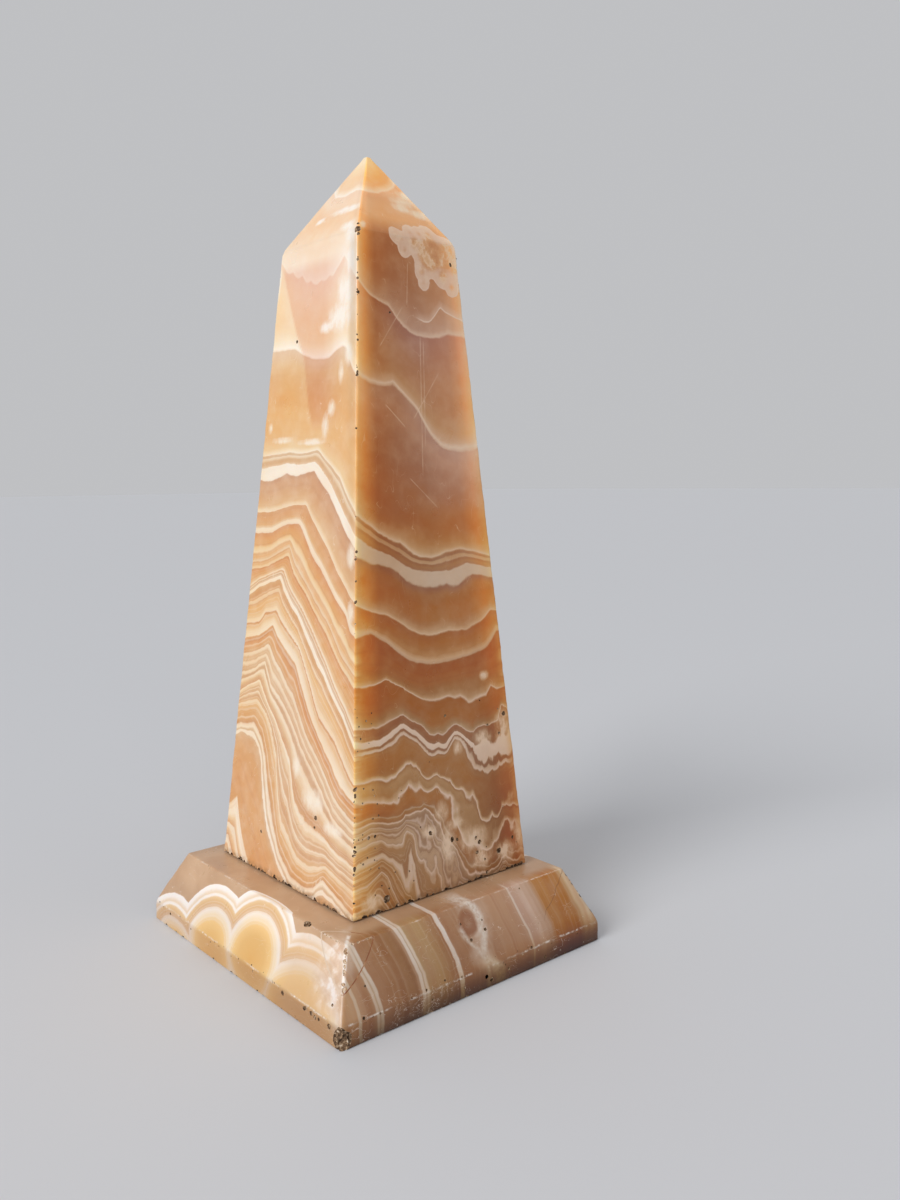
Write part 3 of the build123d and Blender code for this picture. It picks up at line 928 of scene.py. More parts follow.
# Polished onyx of the shaft: sharp milky veins over golden and brown layers, warm where light leaks through,
# with that light and the shade of the shaded faces painted into its colour.
def shaft_material():
    material, place = new_stone("polished_banded_onyx_shaft")
    tree = material.node_tree
    swirl = attribute(tree, "swirl")
    layer = attribute(tree, "layer") + trembling(place, 34 * mm, 11.0) * swirl
    layer = wrinkled(place, layer, swirl * 2.8 + 0.6, swirl * 0.6 + 0.7)
    shade = attribute(tree, "shade")
    # painted shade: the shaded faces take the darker, more amber shaded_bands
    colour = blend(shade, banded(layer, bands), banded(layer, shaded_bands))

    crowded = layer.rescale(240, 150) * layer.rescale(56, 60).most(layer.rescale(22, 18)) * 0.5
    threads = fine_lines(layer, 2.6).rescale(0.5, 0.66) * crowded
    threads = threads * (1.0 - shade * layer.rescale(112, 128) * 0.9)
    colour = blend(threads, colour, "#F6E8D8")
    shadows = fine_lines(layer + 500, 5.0).rescale(0.5, 0.72) * layer.rescale(320, 240, 0.06, 0.3)
    shadows = shadows * (1.0 - shade * 0.6)
    colour = blend(shadows, colour, "#DCB498", "MULTIPLY")
    warm = spots(place, 45 * mm, 3.0).rescale(0.35, 0.7, 0.0, 0.4)
    colour = blend(warm, colour, "#F6DCB8", "MULTIPLY")
    mottled = spots(place, 11 * mm, 4.0).rescale(0.4, 0.75, 0.0, 0.22)
    # random milky mottling, then painted light that pales the lit face towards its top and the shaded cap
    colour = coats(colour, (mottled, "#F8EAD8"), (attribute(tree, "painted_paling"), "#FFF5E6"))
    colour = blend(attribute(tree, "blush") * 0.75, colour, "#F1D6CC", "MULTIPLY")
    colour = milky(colour, place, attribute(tree, "cloud"))

    petal = attribute(tree, "blot") + trembling(place, 5 * mm, 0.9)
    curd_tones = [(0.32, "#EFB87A"), (0.52, "#F8D09C"), (0.6, "#FCEAD0"), (0.7, "#F9DAAE")]
    curd = ramp(spots(place, 9 * mm, 4.0, 0.6), curd_tones)
    rim = petal.rescale(-8.0, -3.0, 0.0, 0.8, smooth=True).most(petal.rescale(-1.6, -0.8))
    flower = blend(rim, curd, "#F8EAE0")
    colour = blend(petal.rescale(0.2, -0.4), colour, flower)

    chevron_line = attribute(tree, "chevron") + trembling(place, 6 * mm, 0.5)
    hazy = chevron_line.rescale(6, 0.4, 0.0, 0.5) * chevron_line.rescale(-0.2, 0.2)
    hazy = hazy.most(abs(chevron_line).rescale(0.9, 0.3)) * attribute(tree, "chevron_share")
    colour = blend(hazy, colour, "#F8ECE2")

    x, y, z = parts_of(place)
    x = x - shaft_middle.x / mm
    cracks = None
    for start, end in healed_cracks:
        crack = hairline(x, z, start, end)
        cracks = crack if cracks is None else cracks.most(crack)
    cracks = cracks * shade * y.rescale(-20, -30) * spots(place, 9 * mm, 3.0).rescale(0.3, 0.6, 0.15, 0.55)
    colour = coats(colour, (cracks, "#F8EADA"), (scuffs(place, (1, 1, 0.5)) * 0.5, "#F8EBDD"))

    # painted light and shade: the glow colour is multiplied in, paler over the bright veins of the shaded faces
    glow = add_node(tree, "ShaderNodeAttribute", attribute_name="glow").outputs["Color"]
    brightness = Number(add_node(tree, "ShaderNodeRGBToBW", {0: colour}).outputs[0])
    glow = blend(brightness.rescale(0.5, 0.85, 0.0, 0.8) * shade, glow, "#F4DEC8")
    colour = blend(1.0, colour, glow, "MULTIPLY")
    # darker, in blotches, over the last 5 mm above the foot
    dark_tinge = z.rescale(foot / mm + 5, foot / mm) * spots(place, 4 * mm, 4.0).rescale(0.35, 0.6)
    colour = blend(dark_tinge * 0.8, colour, "#7A5A3E")
    polished(colour, place)
    return material


def parts_of(place):
    """the x, y and z of a place, in mm"""
    return [Number(socket) / mm for socket in add_node(tree_of(place), "ShaderNodeSeparateXYZ", {0: place}).outputs]


def grainy_material(name, stops, size, detail, rough, bump, roughness):
    """a matt surface of grains, coloured by how high each grain stands; bump is its strength and its depth"""
    material, place = new_stone(name)
    grains = spots(place, size, detail, rough)
    inputs = {"Height": grains, "Strength": bump[0], "Distance": bump[1]}
    uneven = add_node(material.node_tree, "ShaderNodeBump", inputs).outputs[0]
    inputs = {"Base Color": ramp(grains, stops), "Roughness": roughness, "IOR": 1.5, "Normal": uneven}
    finish_surface(material.node_tree, inputs)
    return material


# Broken onyx: a dull, sugary surface, white where it is fresh and dark brown where dirt has settled in it.
def broken_material(name, stops):
    return grainy_material(name, stops, 2.2 * mm, 6.0, 0.65, (0.7, 0.6 * mm), 0.8)


shaft_onyx = shaft_material()
fresh_break = [(0.3, "#7A5C42"), (0.42, "#A88462"), (0.52, "#CDB091"), (0.62, "#E8D8C2"), (0.8, "#F4ECE0")]
dirty_break = [(0.36, "#3A281A"), (0.46, "#644A32"), (0.54, "#96785A"), (0.62, "#CDB496"), (0.7, "#F2E8DA")]
broken_onyx = broken_material("broken_onyx", fresh_break)
dirty_onyx = broken_material("broken_onyx_with_dirt", dirty_break)

# %% [markdown]
# ## The shaft
# The shaft is one block up to its shoulder and a blunt point above it.

# %% Build the shaft
shaft_levels = (
    (foot, foot_side),
    (shoulder, head_side),
    (tip - 0.6 * mm, 4 * mm),
)
shaft_mesh = worn_block("shaft_stone", shaft_levels, shaft_middle, 70, 2.3 * mm, 1.7 * mm, 1)
soften(shaft_mesh, [shoulder], 3 * mm, 3)
shaft = new_piece("shaft_stone", shaft_mesh, shaft_onyx, "shaft")


# %% Chip the arrises and pit the faces
def on_shaft(side, across, up):
    """a point on the shaft's -X or -Y face"""
    height = up * mm
    half = np.interp(height, (foot, shoulder, tip), (foot_side / 2, head_side / 2, 2 * mm))
    offset = (-half, -across * half) if side == "left" else (across * half, -half)
    return Vector((shaft_middle.x + offset[0], shaft_middle.y + offset[1], height))


random.seed(7)
wear = []
# stretches of the front arris with many chips: from, to, how many, largest radius in mm
for low, high, count, largest in (
    (512, 524, 4, 2.0), (474, 498, 6, 1.2), (440, 452, 3, 1.0), (416, 430, 4, 1.1), (288, 303, 4, 1.4),
    (240, 274, 6, 1.2), (128, 150, 6, 1.4), (100, 124, 7, 1.5), (60, 100, 6, 1.3), (60, 560, 26, 0.7),
):
    for _ in range(count):
        radius = random.uniform(0.5, 1) * largest * mm
        spot = on_shaft("left", 1.0, random.uniform(low, high))
        aside = Vector((random.uniform(-0.2, 1.3) * radius, -0.1 * radius, 0))
        wear.append(ball(spot + aside, radius, tall=random.uniform(0.7, 2.2)))
for side, across in (("left", -1), ("right", 1)):
    for _ in range(16):
        radius = random.uniform(0.5, 1.3) * mm
        wear.append(ball(on_shaft(side, across, random.uniform(60, 515)), radius, tall=1.6))
for side in ("left", "right"):
    for _ in range(34):
        radius = random.uniform(0.7, 1.9) * mm
        spot = on_shaft(side, random.uniform(-0.98, 0.98), foot / mm - 0.2)
        wear.append(ball(spot, radius, random.uniform(1, 2.2), random.uniform(1, 2.2)))
# pits of each face: place across, height, radius in mm
for side, pits in (
    ("left", ((-0.37, 450, 1.1), (-0.39, 87, 1.2), (0.45, 115, 1.5), (0.44, 108, 1.0))),
    ("right", (
        (-0.14, 101, 1.6), (0.11, 92, 1.7), (0.17, 91, 1.2), (0.4, 88, 1.2), (0.44, 84, 1.6), (0.4, 77, 1.3),
        (0.49, 70, 1.0), (0.67, 73, 2.1), (0.83, 161, 1.0), (0.68, 169, 1.0), (0.92, 175, 1.7), (0.12, 182, 1.0),
        (-0.65, 65, 2.6), (0.86, 80, 1.2), (0.5, 60, 1.2), (-0.84, 110, 1.1), (-0.77, 110, 1.0), (-0.42, 464, 0.8),
        (0.84, 503, 1.2), (-0.4, 79, 0.7),
    )),
):
    for across, up, radius in pits:
        wear.append(ball(on_shaft(side, across, up), radius * mm, 1.2, 1.2))
for _ in range(46):
    size = random.uniform(0.35, 0.8) * mm
    across = random.choice((random.uniform(-0.99, -0.72), random.uniform(-0.99, 0.98)))
    wear.append(ball(on_shaft("right", across, random.triangular(60, 200, 90)), size))
# bites out of the three shoulder corners that show, the deepest in front
wear.append(ball(on_shaft("left", 1.0, 518) + Vector((-0.6, -0.6, 0)) * mm, mm, 3.4, 3.2, 3.6))
wear.append(ball(on_shaft("right", 1.0, 518), mm, 1.6, 1.6, 2.2))
wear.append(ball(on_shaft("left", -1.0, 518), mm, 1.8, 1.8, 2.6))

combine(shaft, lumpy_balls(wear, 3), "DIFFERENCE", dirty_onyx, overlapping=True)
press_in(shaft.data, shaft_levels, shaft_middle)
paint_shaft(shaft.data)
shade_smooth(shaft)
print("shaft:", len(wear), "chips and pits,", triangles(shaft), "triangles")


# %% [markdown]
# ## The plinth's stone
# The plinth comes from another part of the same quarry.  Its -X side cuts through round nuclei that grew
# like soap bubbles, each wrapped in the same shells, so a point's distance from the nearest ball gives its
# layer.  The rest of the block has upright veins, numbered in mm across the -Y side.

# %% List the shells and the veins
# centre and radius in mm of the balls that the shells wrap
nuclei = [
    ((-122, 36, 4), 33), ((-121, -17, 19), 33), ((-122, -80, -12), 51), ((-122, 90, -22), 35),
    ((124, 20, 6), 36), ((122, -48, 22), 30), ((124, 86, -8), 40),
]
shells = [
    (-34, "#E4B066"), (-18, "#E8B974"), (-11, "#F1C785"), (-6, "#F4DCB8"), (-2.5, "#F5E6D6"), (-0.8, "#EFDAC4"),
    (-0.1, "#DFB88E"), (1, "#DDB284"), (3.5, "#E0B682"), (6.3, "#E8C597"), (7.6, "#F8EEE4"), (8.8, "#F6E8DA"),
    (9.6, "#EBD0B0"), (11, "#F0DCC6"), (12.6, "#F7ECE2"), (15, "#F9F1EA"), (15.6, "#C79F7C"), (17, "#D0A67C"),
]
veins = [
    (-140, "#C99A66"), (-123, "#CF9A5E"), (-118.4, "#CE9552"), (-117.6, "#F0E0CC"), (-115.8, "#EEDCC0"),
    (-115.2, "#C08A58"), (-108.4, "#BC8658"), (-104.2, "#C89E76"), (-103.4, "#EFE0CE"), (-102, "#EDDCC8"),
    (-101.2, "#D2B492"), (-100.2, "#EEE0D0"), (-98.6, "#EFE2D2"), (-97.8, "#B98A64"), (-84, "#AE7C4E"),
    (-68, "#A6784C"), (-64.6, "#B88C66"), (-63.8, "#F0E2D4"), (-61.8, "#F3E8DC"), (-61, "#CDB08E"),
    (-60.2, "#F0E2D2"), (-58.8, "#EEDEC8"), (-57.8, "#C2A072"), (-54, "#C8A478"), (-45, "#C29C6A"),
    (-34, "#B5875A"), (-30.8, "#B28156"), (-30, "#F0E2D4"), (-27, "#F3E8DE"), (-26.2, "#B88A64"), (-17, "#B3825A"),
    (-9, "#B88C68"), (8, "#C29876"), (22, "#C69A76"), (36, "#C99E7C"), (41.6, "#CDA68A"), (42.4, "#F0E0D2"),
    (43.6, "#EEDDCE"), (44.2, "#D6B4A2"), (55, "#E2C4B0"), (64, "#D0AC90"), (68, "#C48844"), (84, "#C4822E"),
    (93, "#BE7C2E"), (97, "#CEA068"), (100, "#E8D0AC"), (104, "#E8C8A2"), (107, "#EEDCC0"), (110.5, "#EACCA8"),
    (114, "#EEDCC4"), (125, "#F0D8BA"),
]


# %% Shade the plinth
def follow(along, points, low, high):
    """reads a drawn curve of (along, across) points; the answer lies between low and high"""
    first, last = points[0][0], points[-1][0]
    node = add_node(tree_of(along), "ShaderNodeFloatCurve", {"Value": along.rescale(first, last)})
    curve = node.mapping.curves[0]
    spread = [((at - first) / (last - first), (across - low) / (high - low)) for at, across in points]
    for at, across in spread[1:-1]:
        curve.points.new(at, across)
    curve.points[0].location = spread[0]
    curve.points[len(curve.points) - 1].location = spread[-1]
    node.mapping.update()
    return Number(node.outputs[0]).rescale(0, 1, low, high)


def ribbon(offset, half_width):
    """1 within half_width of a line, falling to 0 in a millimetre"""
    return abs(offset).rescale(half_width + 0.7, half_width - 0.3)


def plinth_colour(place):
    """upright veins, a swirl among them, and shells round the nuclei"""
    x, y, z = parts_of(place)
    bent = trembling(place, 30 * mm, 2.2) + trembling(place, 7 * mm, 0.5)
    from_top = plinth_top / mm - z
    inward = (y + top_side / mm / 2).most(0)
    across = x + bent - (from_top * 0.3).least(8.8)
    colour = banded(across, veins)
    threads = fine_lines(across, 3.5).rescale(0.52, 0.7) * 0.16
    colour = blend(threads, colour, "#E8D4BE")
    shadows = fine_lines(across + 300, 9.0).rescale(0.45, 0.7) * 0.3
    colour = blend(shadows, colour, "#E0BC9E", "MULTIPLY")
    clouded = spots(place, 16 * mm, 4.0).rescale(0.4, 0.75, 0.0, 0.3)
    colour = blend(clouded, colour, "#CBA888")
    plain = blend(spots(place, 25 * mm).rescale(0.35, 0.65), "#C09A78", "#CDA987")
    veined = ribbon(across + 61.2, 2.8).most(ribbon(across + 28.4, 1.8)) * x.rescale(-80, -70)
    away = inward.rescale(2, 12, smooth=True) * (1.0 - veined)
    beyond = away.most(inward.rescale(24, 34, smooth=True) * x.rescale(-50, -60))
    colour = blend(beyond, colour, plain)

    near_front = y.rescale(-82, -94)
    height = z - trembling(place, 6 * mm, 0.8)
    disc = ((x + 1.5 + bent) ** 2.0 * 1.1 + (z - 44) ** 2.0) ** 0.5 + trembling(place, 7 * mm, 1.6)
    ring = abs(disc - 12.6).rescale(4.2, 1.4) * (x + bent).rescale(-9, 1) * z.rescale(34, 38)
    tail_line = [(0, 17), (10, 16), (15, 12), (19, 7), (24, 5.5), (30, 8), (36, 11), (42, 12.5)]
    spur_line = [(16, 6), (25, 2), (29, -1), (33, -4.5), (38, -8), (46, -10)]
    tail = x + bent - follow(height, tail_line, -20, 40)
    spur = x + bent - follow(height, spur_line, -20, 20)
    haze = abs(tail + 3).rescale(13, 4) * z.rescale(60, 36) * z.rescale(6, 16) * near_front
    colour = blend(haze * spots(place, 9 * mm, 3.0).rescale(0.3, 0.6, 0.25, 0.8), colour, "#E4CCB8")
    tail = abs(tail).rescale(4.4, 1.2).most(abs(tail).rescale(7.5, 2.5) * z.rescale(23, 17)) * z.rescale(41, 37)
    spur = abs(spur).rescale(3.4, 0.4) * z.rescale(46, 40) * 0.8
    curd = ring.most(tail).most(spur) * spots(place, 3.5 * mm, 4.0, 0.6).rescale(0.3, 0.58, 0.15, 1.0)
    colour = coats(
        colour,
        (disc.rescale(9.5, 6.5) * near_front * 0.85, "#A26C4A"),
        (disc.rescale(5, 1) * near_front * spots(place, 3 * mm, 3.0) * 0.6, "#D2B498"),
        (curd * near_front, "#F2E8DC"),
    )

    shell = None
    for centre, radius in nuclei:
        inputs = {0: place, 1: Vector(centre) * mm}
        away = add_node(tree_of(place), "ShaderNodeVectorMath", inputs, operation="DISTANCE")
        distance = Number(away.outputs["Value"]) / mm - radius
        shell = distance if shell is None else shell.least(distance)
    shell = shell + trembling(place, 18 * mm, 1.2) + trembling(place, 4 * mm, 0.35)
    shell = shell + (x - y).rescale(-1, 3, 0, 40) * x.rescale(-60, -80)
    shell = shell + x.rescale(-102, -96, 0.0, 12.0) * z.rescale(54, 55.5) * x.rescale(0, -10)
    bubbles = banded(shell, shells)
    streaks = fine_lines(shell, 2.0).rescale(0.5, 0.7) * shell.rescale(-16, -8, 0.0, 0.3)
    duller = y.rescale(-46, -62) * x.rescale(-80, -100)
    bubbles = coats(bubbles, (streaks, "#F8ECDE"), (duller * 0.45, "#D8B48E"))
    colour = blend(shell.rescale(15.9, 15.4), colour, bubbles)

    milky_side = (y - x + trembling(place, 6 * mm, 2.0)).rescale(-3, 1.5, smooth=True)
    bruised = milky_side * (0.0 - y + trembling(place, 10 * mm, 6.0)).rescale(82, 100) * z.rescale(14, 30)
    pith = ramp(spots(place, 8 * mm, 4.0), [(0.38, "#D6B498"), (0.52, "#E6CAB2"), (0.64, "#F8EEE6")])
    colour = blend(bruised * 0.85, colour, pith)

    below = z.rescale(rim / mm + 1.5, rim / mm - 1.5)
    # `shaded` is 1 on the -Y side, whose colour is painted darker as shade further down
    shaded = (x - y).rescale(-6, 6) * (0.0 - y - 60).rescale(0, 20)
    colour = blend(below * (1.0 - shaded) * 0.2, colour, "#DDB184")
    # painted shade: the lit slope is dimmed a little
    lit_slope = (z.rescale(42, 32) - below).most(0) * x.rescale(-90, -105)
    colour = blend(lit_slope, colour, "#F5F5F7", "MULTIPLY")
    # painted light: paler beside the lit front arris, high on the shaded side
    fringe = (x + from_top * 0.3).rescale(-96, -101) * z.rescale(34, 44) * shaded
    colour = blend(fringe * 0.7, colour, "#E4D0BC")
    # painted shade on the shaded side: all of it darker, more and more towards its foot, less near the front corner,
    # and warmer low at its far end
    deep = z.rescale(18.5, 5, smooth=True) * x.rescale(-40, -112, 0.95, 0.6)
    colour = coats(
        colour,
        (shaded, "#EFEAE6"),
        (shaded * z.rescale(50, 15) * 0.7, "#CFC0B0"),
        (shaded * deep, "#AA915D"),
        (shaded * z.rescale(7, 0) * 0.7, "#6A5A4A"),
        (shaded * z.rescale(24, 8) * x.rescale(10, 90) * 0.75, "#B08650"),
        how="MULTIPLY",
    )
    # painted light: paler beside the front corner, low on the shaded side
    beside_corner = shaded * x.rescale(-98, -106) * z.rescale(40, 34) * z.rescale(13, 18)
    colour = blend(beside_corner * 0.3, colour, "#DEBC9A")
    # painted shade warmed low on the shaded side; the rim of the lit side is greyer and darker towards the front
    return coats(
        colour,
        (shaded * z.rescale(24, 10) * x.rescale(-90, 30) * 0.75, "#FFE6A4"),
        (below * (1.0 - shaded) * y.rescale(60, -80, 0.4, 0.8), "#B8A8A0"),
        how="MULTIPLY",
    )


# %% Bruise and scratch the edges
def scuffed(place, colour):
    """whitish bruises along the ground edges, partly a painted highlight along the rim's edge, and fine scratches"""
    x, y, z = parts_of(place)
    # the whitish line along the rim's edge is partly wear and partly a painted highlight
    rim_edge = abs(z - rim / mm - 0.3 + trembling(place, 8 * mm, 1.0)).rescale(1.0, 0.1)
    top_edge = abs(abs(x).most(abs(y)) - top_side / mm / 2).rescale(0.9, 0.2) * z.rescale(55, 55.8)
    patches = spots(place, 14 * mm, 3.0).rescale(0.42, 0.62)
    patches = patches * spots(place, 2.6 * mm, 4.0, 0.6).rescale(0.38, 0.62)
    colour = blend(rim_edge.most(top_edge) * patches * 0.85, colour, "#F7ECE0")
    specks = spots(place, 1.6 * mm, 2.0).rescale(0.72, 0.78) * z.rescale(32, 16) * 0.6
    colour = blend(specks, colour, "#F2E2D0")
    grazes = abs(spots(squeezed(place, (1, 1, 1.5)), 5 * mm, 3.0) - 0.5).rescale(0.014, 0.0)
    grazes = grazes * z.rescale(20, 15) * x.rescale(-86, -76) * x.rescale(-16, -34) * y.rescale(-112, -118)
    colour = blend(grazes * spots(place, 9 * mm, 2.0).rescale(0.4, 0.55) * 0.7, colour, "#F0E0CE")
    return blend(scuffs(place, (0.6, 0.6, 1.6), 7 * mm) * 0.5, colour, "#F6E8DA")


# %% Make the materials of the plinth and its repair
# Polished onyx of the plinth: golden bubbles in milky shells, upright veins, and bruised edges.
def plinth_material():
    material, place = new_stone("polished_nodular_onyx_plinth")
    colour = plinth_colour(place)
    x, y, z = parts_of(place)
    wander = trembling(place, 12 * mm, 3.0) + trembling(place, 3 * mm, 0.7)
    crack = abs(z - 30 - (x - 70) * 0.72 + wander).rescale(0.45, 0.15) * x.rescale(68, 74) * y.rescale(-70, -90)
    colour = blend(crack * 0.7, colour, "#7A5034")
    colour = scuffed(place, colour)
    polished(colour, place)
    return material


# The refitted corner: the same stone, milky on its left where the break bruised it through.
def fragment_material():
    material, place = new_stone("polished_onyx_refitted_corner")
    colour = scuffed(place, plinth_colour(place))
    x, y, _ = parts_of(place)
    arris = abs(x - y).rescale(2.4, 0.6) * spots(place, 5 * mm, 3.0).rescale(0.35, 0.5)
    colour = blend(arris * 0.8, colour, "#F8F0E8")
    polished(colour, place)
    return material


# Old resin glue: reddish brown with age, and pale on the lit -X side of the corner.
def glue_material():
    material, place = new_stone("aged_resin_glue")
    x, y, _ = parts_of(place)
    aged = ramp(spots(place, 5 * mm, 4.0), [(0.35, "#8A4A26"), (0.5, "#A4653A"), (0.65, "#C09068")])
    # pale on the corner's -X side, reddish brown on its -Y side
    colour = blend((y - x).rescale(-2, 2), aged, "#DCC4AC")
    finish_surface(material.node_tree, {"Base Color": colour, "Roughness": 0.4, "IOR": 1.5})
    return material


# Mastic: dark, matt putty that holds the dust of the bench.
def mastic_material():
    stops = [(0.35, "#2A1C12"), (0.55, "#4B3423"), (0.7, "#7C5E42")]
    return grainy_material("dark_mastic_putty", stops, 1.5 * mm, 5.0, 0.5, (0.6, 0.3 * mm), 0.85)


plinth_onyx = plinth_material()
fragment_onyx = fragment_material()
glue = glue_material()
mastic = mastic_material()

# %% [markdown]
# ## The plinth and its mended corner
# One upper corner of the plinth was knocked off along a shell-shaped break and glued back.  The same big ball
# cuts the break into the plinth and rounds the back of the corner piece, so that they fit, and a slightly
# smaller ball leaves room for the glue.

# %% Find the break
half_top = top_side / 2
half_foot = plinth_side / 2
break_depth = 28 * mm
# how far from the corner the break crosses the two edges of the top
break_along_left, break_along_right = 28 * mm, 23 * mm
# the ball of the break, the smaller one that leaves 0.6 mm for glue, and how far out in mm their centre lies
break_ball, refit_ball, break_ball_out = 100 * mm, 99.4 * mm, 97
break_corner = half_top + bevel_run * break_depth
break_points = [
    Vector((-half_top, break_along_left - half_top, plinth_top)),
    Vector((break_along_right - half_top, -half_top, plinth_top)),
    Vector((-break_corner, -break_corner, plinth_top - break_depth)),
]
break_out = (break_points[2] - break_points[0]).cross(break_points[1] - break_points[0]).normalized()
break_centre = sum(break_points, Vector()) / 3 + break_out * break_ball_out * mm


def big_ball(radius):
    """the ball of the break, turned so that its finest faces meet the stone"""
    bm = bmesh.new()
    facing = break_out.to_track_quat("Z", "Y").to_matrix().to_4x4()
    place = Matrix.Translation(break_centre) @ facing
    bmesh.ops.create_uvsphere(bm, u_segments=160, v_segments=120, radius=radius, matrix=place)
    return mesh_from(bm, "big_ball")


# %% Build the slab
plinth_levels = (
    (0, plinth_side - 1.6 * mm),
    (0.8 * mm, plinth_side),
    (rim, plinth_side),
    (plinth_top, top_side),
)


def slab(name, columns):
    mesh = worn_block(name, plinth_levels, Vector((0, 0, 0)), columns, 2.2 * mm, 2.4 * mm, 4)
    soften(mesh, [rim, plinth_top], 1.2 * mm, 2)
    return mesh


def plinth_half(height):
    """how far the plinth's sides are from its middle at a height in mm"""
    return np.interp(height * mm, (rim, plinth_top), (half_foot, half_top))


def on_plinth(side, along, height):
    """a point on the plinth's -X or -Y side; along runs towards +Y or +X, all in mm"""
    out = -plinth_half(height)
    return Vector((out, along * mm, height * mm)) if side == "left" else Vector((along * mm, out, height * mm))


# %% Knock the plinth about
random.seed(11)
# the lost lower corner in front: how far each ball is from it, and its radius, in mm
lost_corner = [
    ball(Vector((-half_foot, -half_foot, 0)) + Vector(offset) * mm, size * mm)
    for offset, size in (((-7, -5, 6), 14), ((2, -4, 7), 8), ((-5, 0, 13), 7))
]
knocks = []
# knocks of each side: place along, height, radius
for side, marks in (
    ("left", (
        (-60, 12.5, 1.7), (-85, 12.5, 1.6), (-87, 13.5, 1.3), (-93, 12.5, 1.8), (-97, 11.5, 1.5), (-101, 12, 1.2),
        (-61, 56, 3.0), (-64, 56.5, 1.8), (-110, 24, 1.0), (-112, 12, 1.8), (98, 12.5, 1.0), (65, 12, 0.8),
    )),
    ("right", (
        (-105, 16, 1.2), (-92, 15, 1.0), (-52, 17, 1.0), (-47, 9, 1.0), (-20, 16, 0.9), (-18, 8, 1.0),
        (-3, 34, 1.3), (12, 37, 1.3), (11.5, 43, 0.8), (8, 5, 1.9), (3, 9, 1.6), (25, 8, 1.3), (49, 16, 1.2),
        (-98, 32, 0.8), (-35, 18, 0.8), (63, 5, 1.2), (-8, 45, 0.8), (55, 53, 0.7),
    )),
):
    for along, height, radius in marks:
        knocks.append(ball(on_plinth(side, along, height), radius * mm))
for side in ("left", "right"):
    for _ in range(22):
        radius = random.uniform(0.25, 0.55) * mm
        spot = on_plinth(side, random.uniform(-112, 118), random.gauss(14.6, 1.4))
        knocks.append(ball(spot, radius, 1.5, 1.5))
    # along the edge of the top, and then along the foot
    for count, smallest, largest, low, high, height, stretch in (
        (12, 0.25, 0.5, -60, 102, plinth_top / mm, 1.4), (20, 0.6, 1.5, -100, 118, 0, 1.6),
    ):
        for _ in range(count):
            radius = random.uniform(smallest, largest) * mm
            knocks.append(ball(on_plinth(side, random.uniform(low, high), height), radius, stretch, stretch))
# the far arris of the -Y side
for _ in range(16):
    height = random.uniform(4, 54)
    out = plinth_half(height)
    radius = random.uniform(0.5, 1.5) * mm
    knocks.append(ball(Vector((out, -out, height * mm)), radius, tall=1.8))

plinth = new_piece("plinth_stone", slab("plinth_stone", 80), plinth_onyx, "plinth")
combine(plinth, big_ball(break_ball), "DIFFERENCE", broken_onyx)
combine(plinth, lumpy_balls(lost_corner, 5, 0.1), "DIFFERENCE", dirty_onyx, overlapping=True)
combine(plinth, lumpy_balls(knocks, 5), "DIFFERENCE", dirty_onyx, overlapping=True)
press_in(plinth.data, plinth_levels, Vector((0, 0, 0)))
shade_smooth(plinth)

# %% Fit the corner back with glue
flakes = []
for _ in range(26):
    height = random.uniform(29, 55)
    out = plinth_half(height) - 0.4 * mm
    radius = random.uniform(0.5, 1.25) * mm
    flakes.append(ball(Vector((-out, -out, height * mm)), radius, tall=random.uniform(1, 2.2)))
for _ in range(14):
    radius = random.uniform(0.5, 1.2) * mm
    if random.random() < 0.5:
        flakes.append(ball(Vector((-half_top, random.uniform(-103, -78) * mm, plinth_top)), radius, deep=1.6))
    else:
        flakes.append(ball(Vector((random.uniform(-103, -83) * mm, -half_top, plinth_top)), radius, wide=1.6))
fragment_mesh = slab("corner_fragment_stone", 64)
fragment = new_piece("corner_fragment_stone", fragment_mesh, fragment_onyx, "corner_fragment")
combine(fragment, big_ball(refit_ball), "INTERSECT", broken_onyx)
combine(fragment, lumpy_balls(flakes, 9), "DIFFERENCE", broken_onyx, overlapping=True)
shade_smooth(fragment)

seam = new_piece("glue_seam", slab("glue_seam", 40), glue, "mend_glue")
combine(seam, big_ball(break_ball), "INTERSECT")
combine(seam, big_ball(refit_ball), "DIFFERENCE")
shade_smooth(seam)

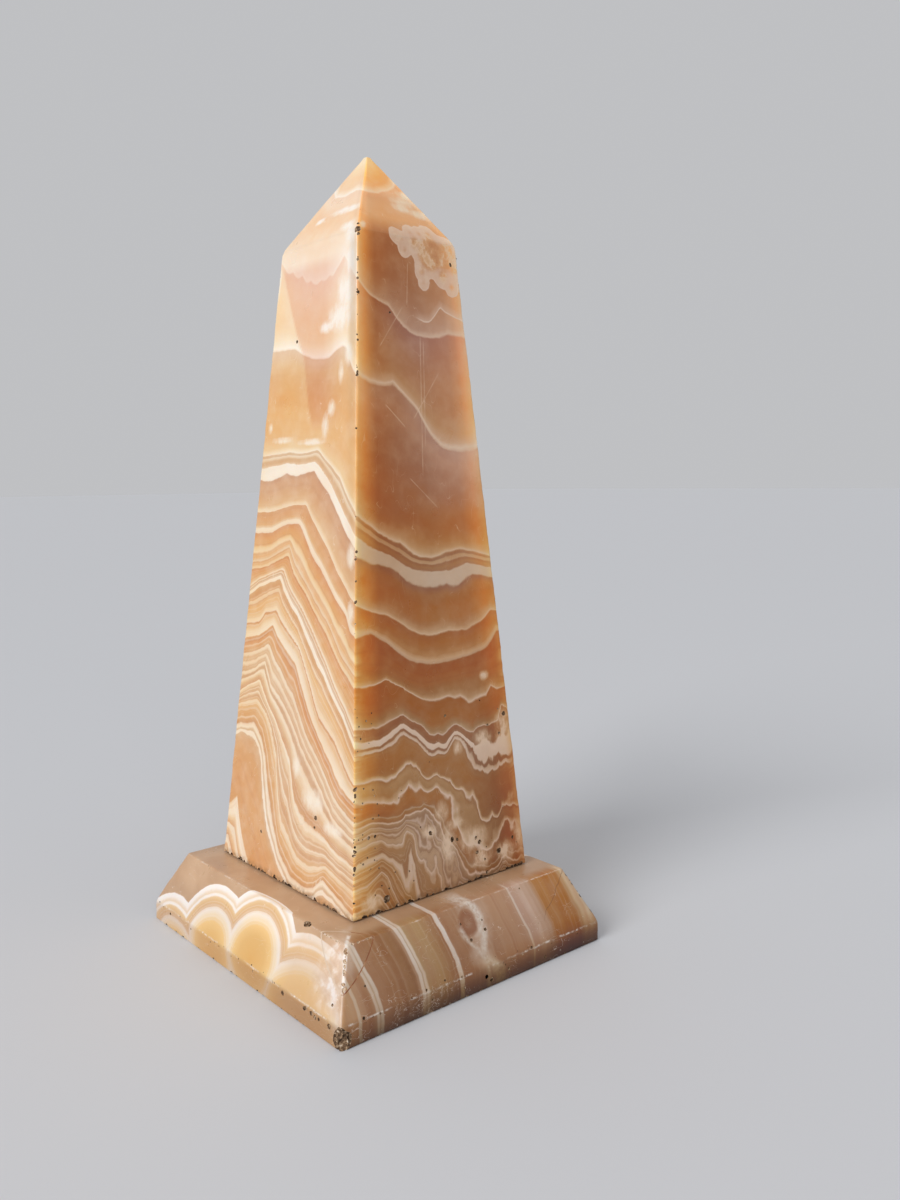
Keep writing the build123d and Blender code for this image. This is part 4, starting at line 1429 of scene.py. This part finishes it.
# %% Lay the bed of mastic
bed_side = bed_high[0] - bed_low[0]
bed_levels = ((bed_low[2], bed_side), (bed_high[2], bed_side))
bed_mesh = worn_block("mastic_bed", bed_levels, shaft_middle, 40, 0.4 * mm, 2 * mm, 6)
bed = new_piece("mastic_bed", bed_mesh, mastic, "bedding")
for piece in (plinth, fragment, seam, bed):
    print(piece.name, triangles(piece), "triangles")

# %% [markdown]
# ## Studio
# A pale floor runs to a pale backdrop of the same tone.  A soft sun from the left wraps the lit face, and the
# world fills the shaded one to about seven tenths of it.

# %% Lay the floor and hang the lights
floor_bm = bmesh.new()
bmesh.ops.create_grid(floor_bm, x_segments=1, y_segments=1, size=30)
# Matt paper: one even pale grey, so that nothing but the soft shadow shows on it.
paper, paper_tree = new_material("matt_paper_floor")
finish_surface(paper_tree, {"Base Color": linear("#D6D7DA"), "Roughness": 0.9})
floor = new_piece("floor", mesh_from(floor_bm, "floor"), paper)


def lamp(kind, name, place, target, energy, **settings):
    """a light at a place that shines towards a target"""
    data = bpy.data.lights.new(name, kind)
    data.energy = energy
    for setting, given in settings.items():
        setattr(data, setting, given)
    aim = (Vector(target) - Vector(place)).to_track_quat("-Z", "Y")
    add_object(name, data).matrix_world = Matrix.Translation(place) @ aim.to_matrix().to_4x4()


lamp("SUN", "soft_key", (-1.75, -0.2, 1.05), (0, 0, 0), 1.8, angle=math.radians(30))
lamp("AREA", "softbox", (-0.9, -1.7, 1.2), (0, 0, 0.3), 4, size=0.8)
world = bpy.data.worlds.new("studio")
world.use_nodes = True
rays = add_node(world.node_tree, "ShaderNodeLightPath")
seen = Number(rays.outputs["Is Camera Ray"]).most(Number(rays.outputs["Is Glossy Ray"]))
seen = seen.most(Number(rays.outputs["Is Transmission Ray"]))
sky = world.node_tree.nodes["Background"]
sky.inputs["Color"].default_value = linear("#F2F3F6")
world.node_tree.links.new((seen * 0.05 + 0.54).socket, sky.inputs["Strength"])
bpy.context.scene.world = world
bpy.context.scene.view_settings.view_transform = "Standard"
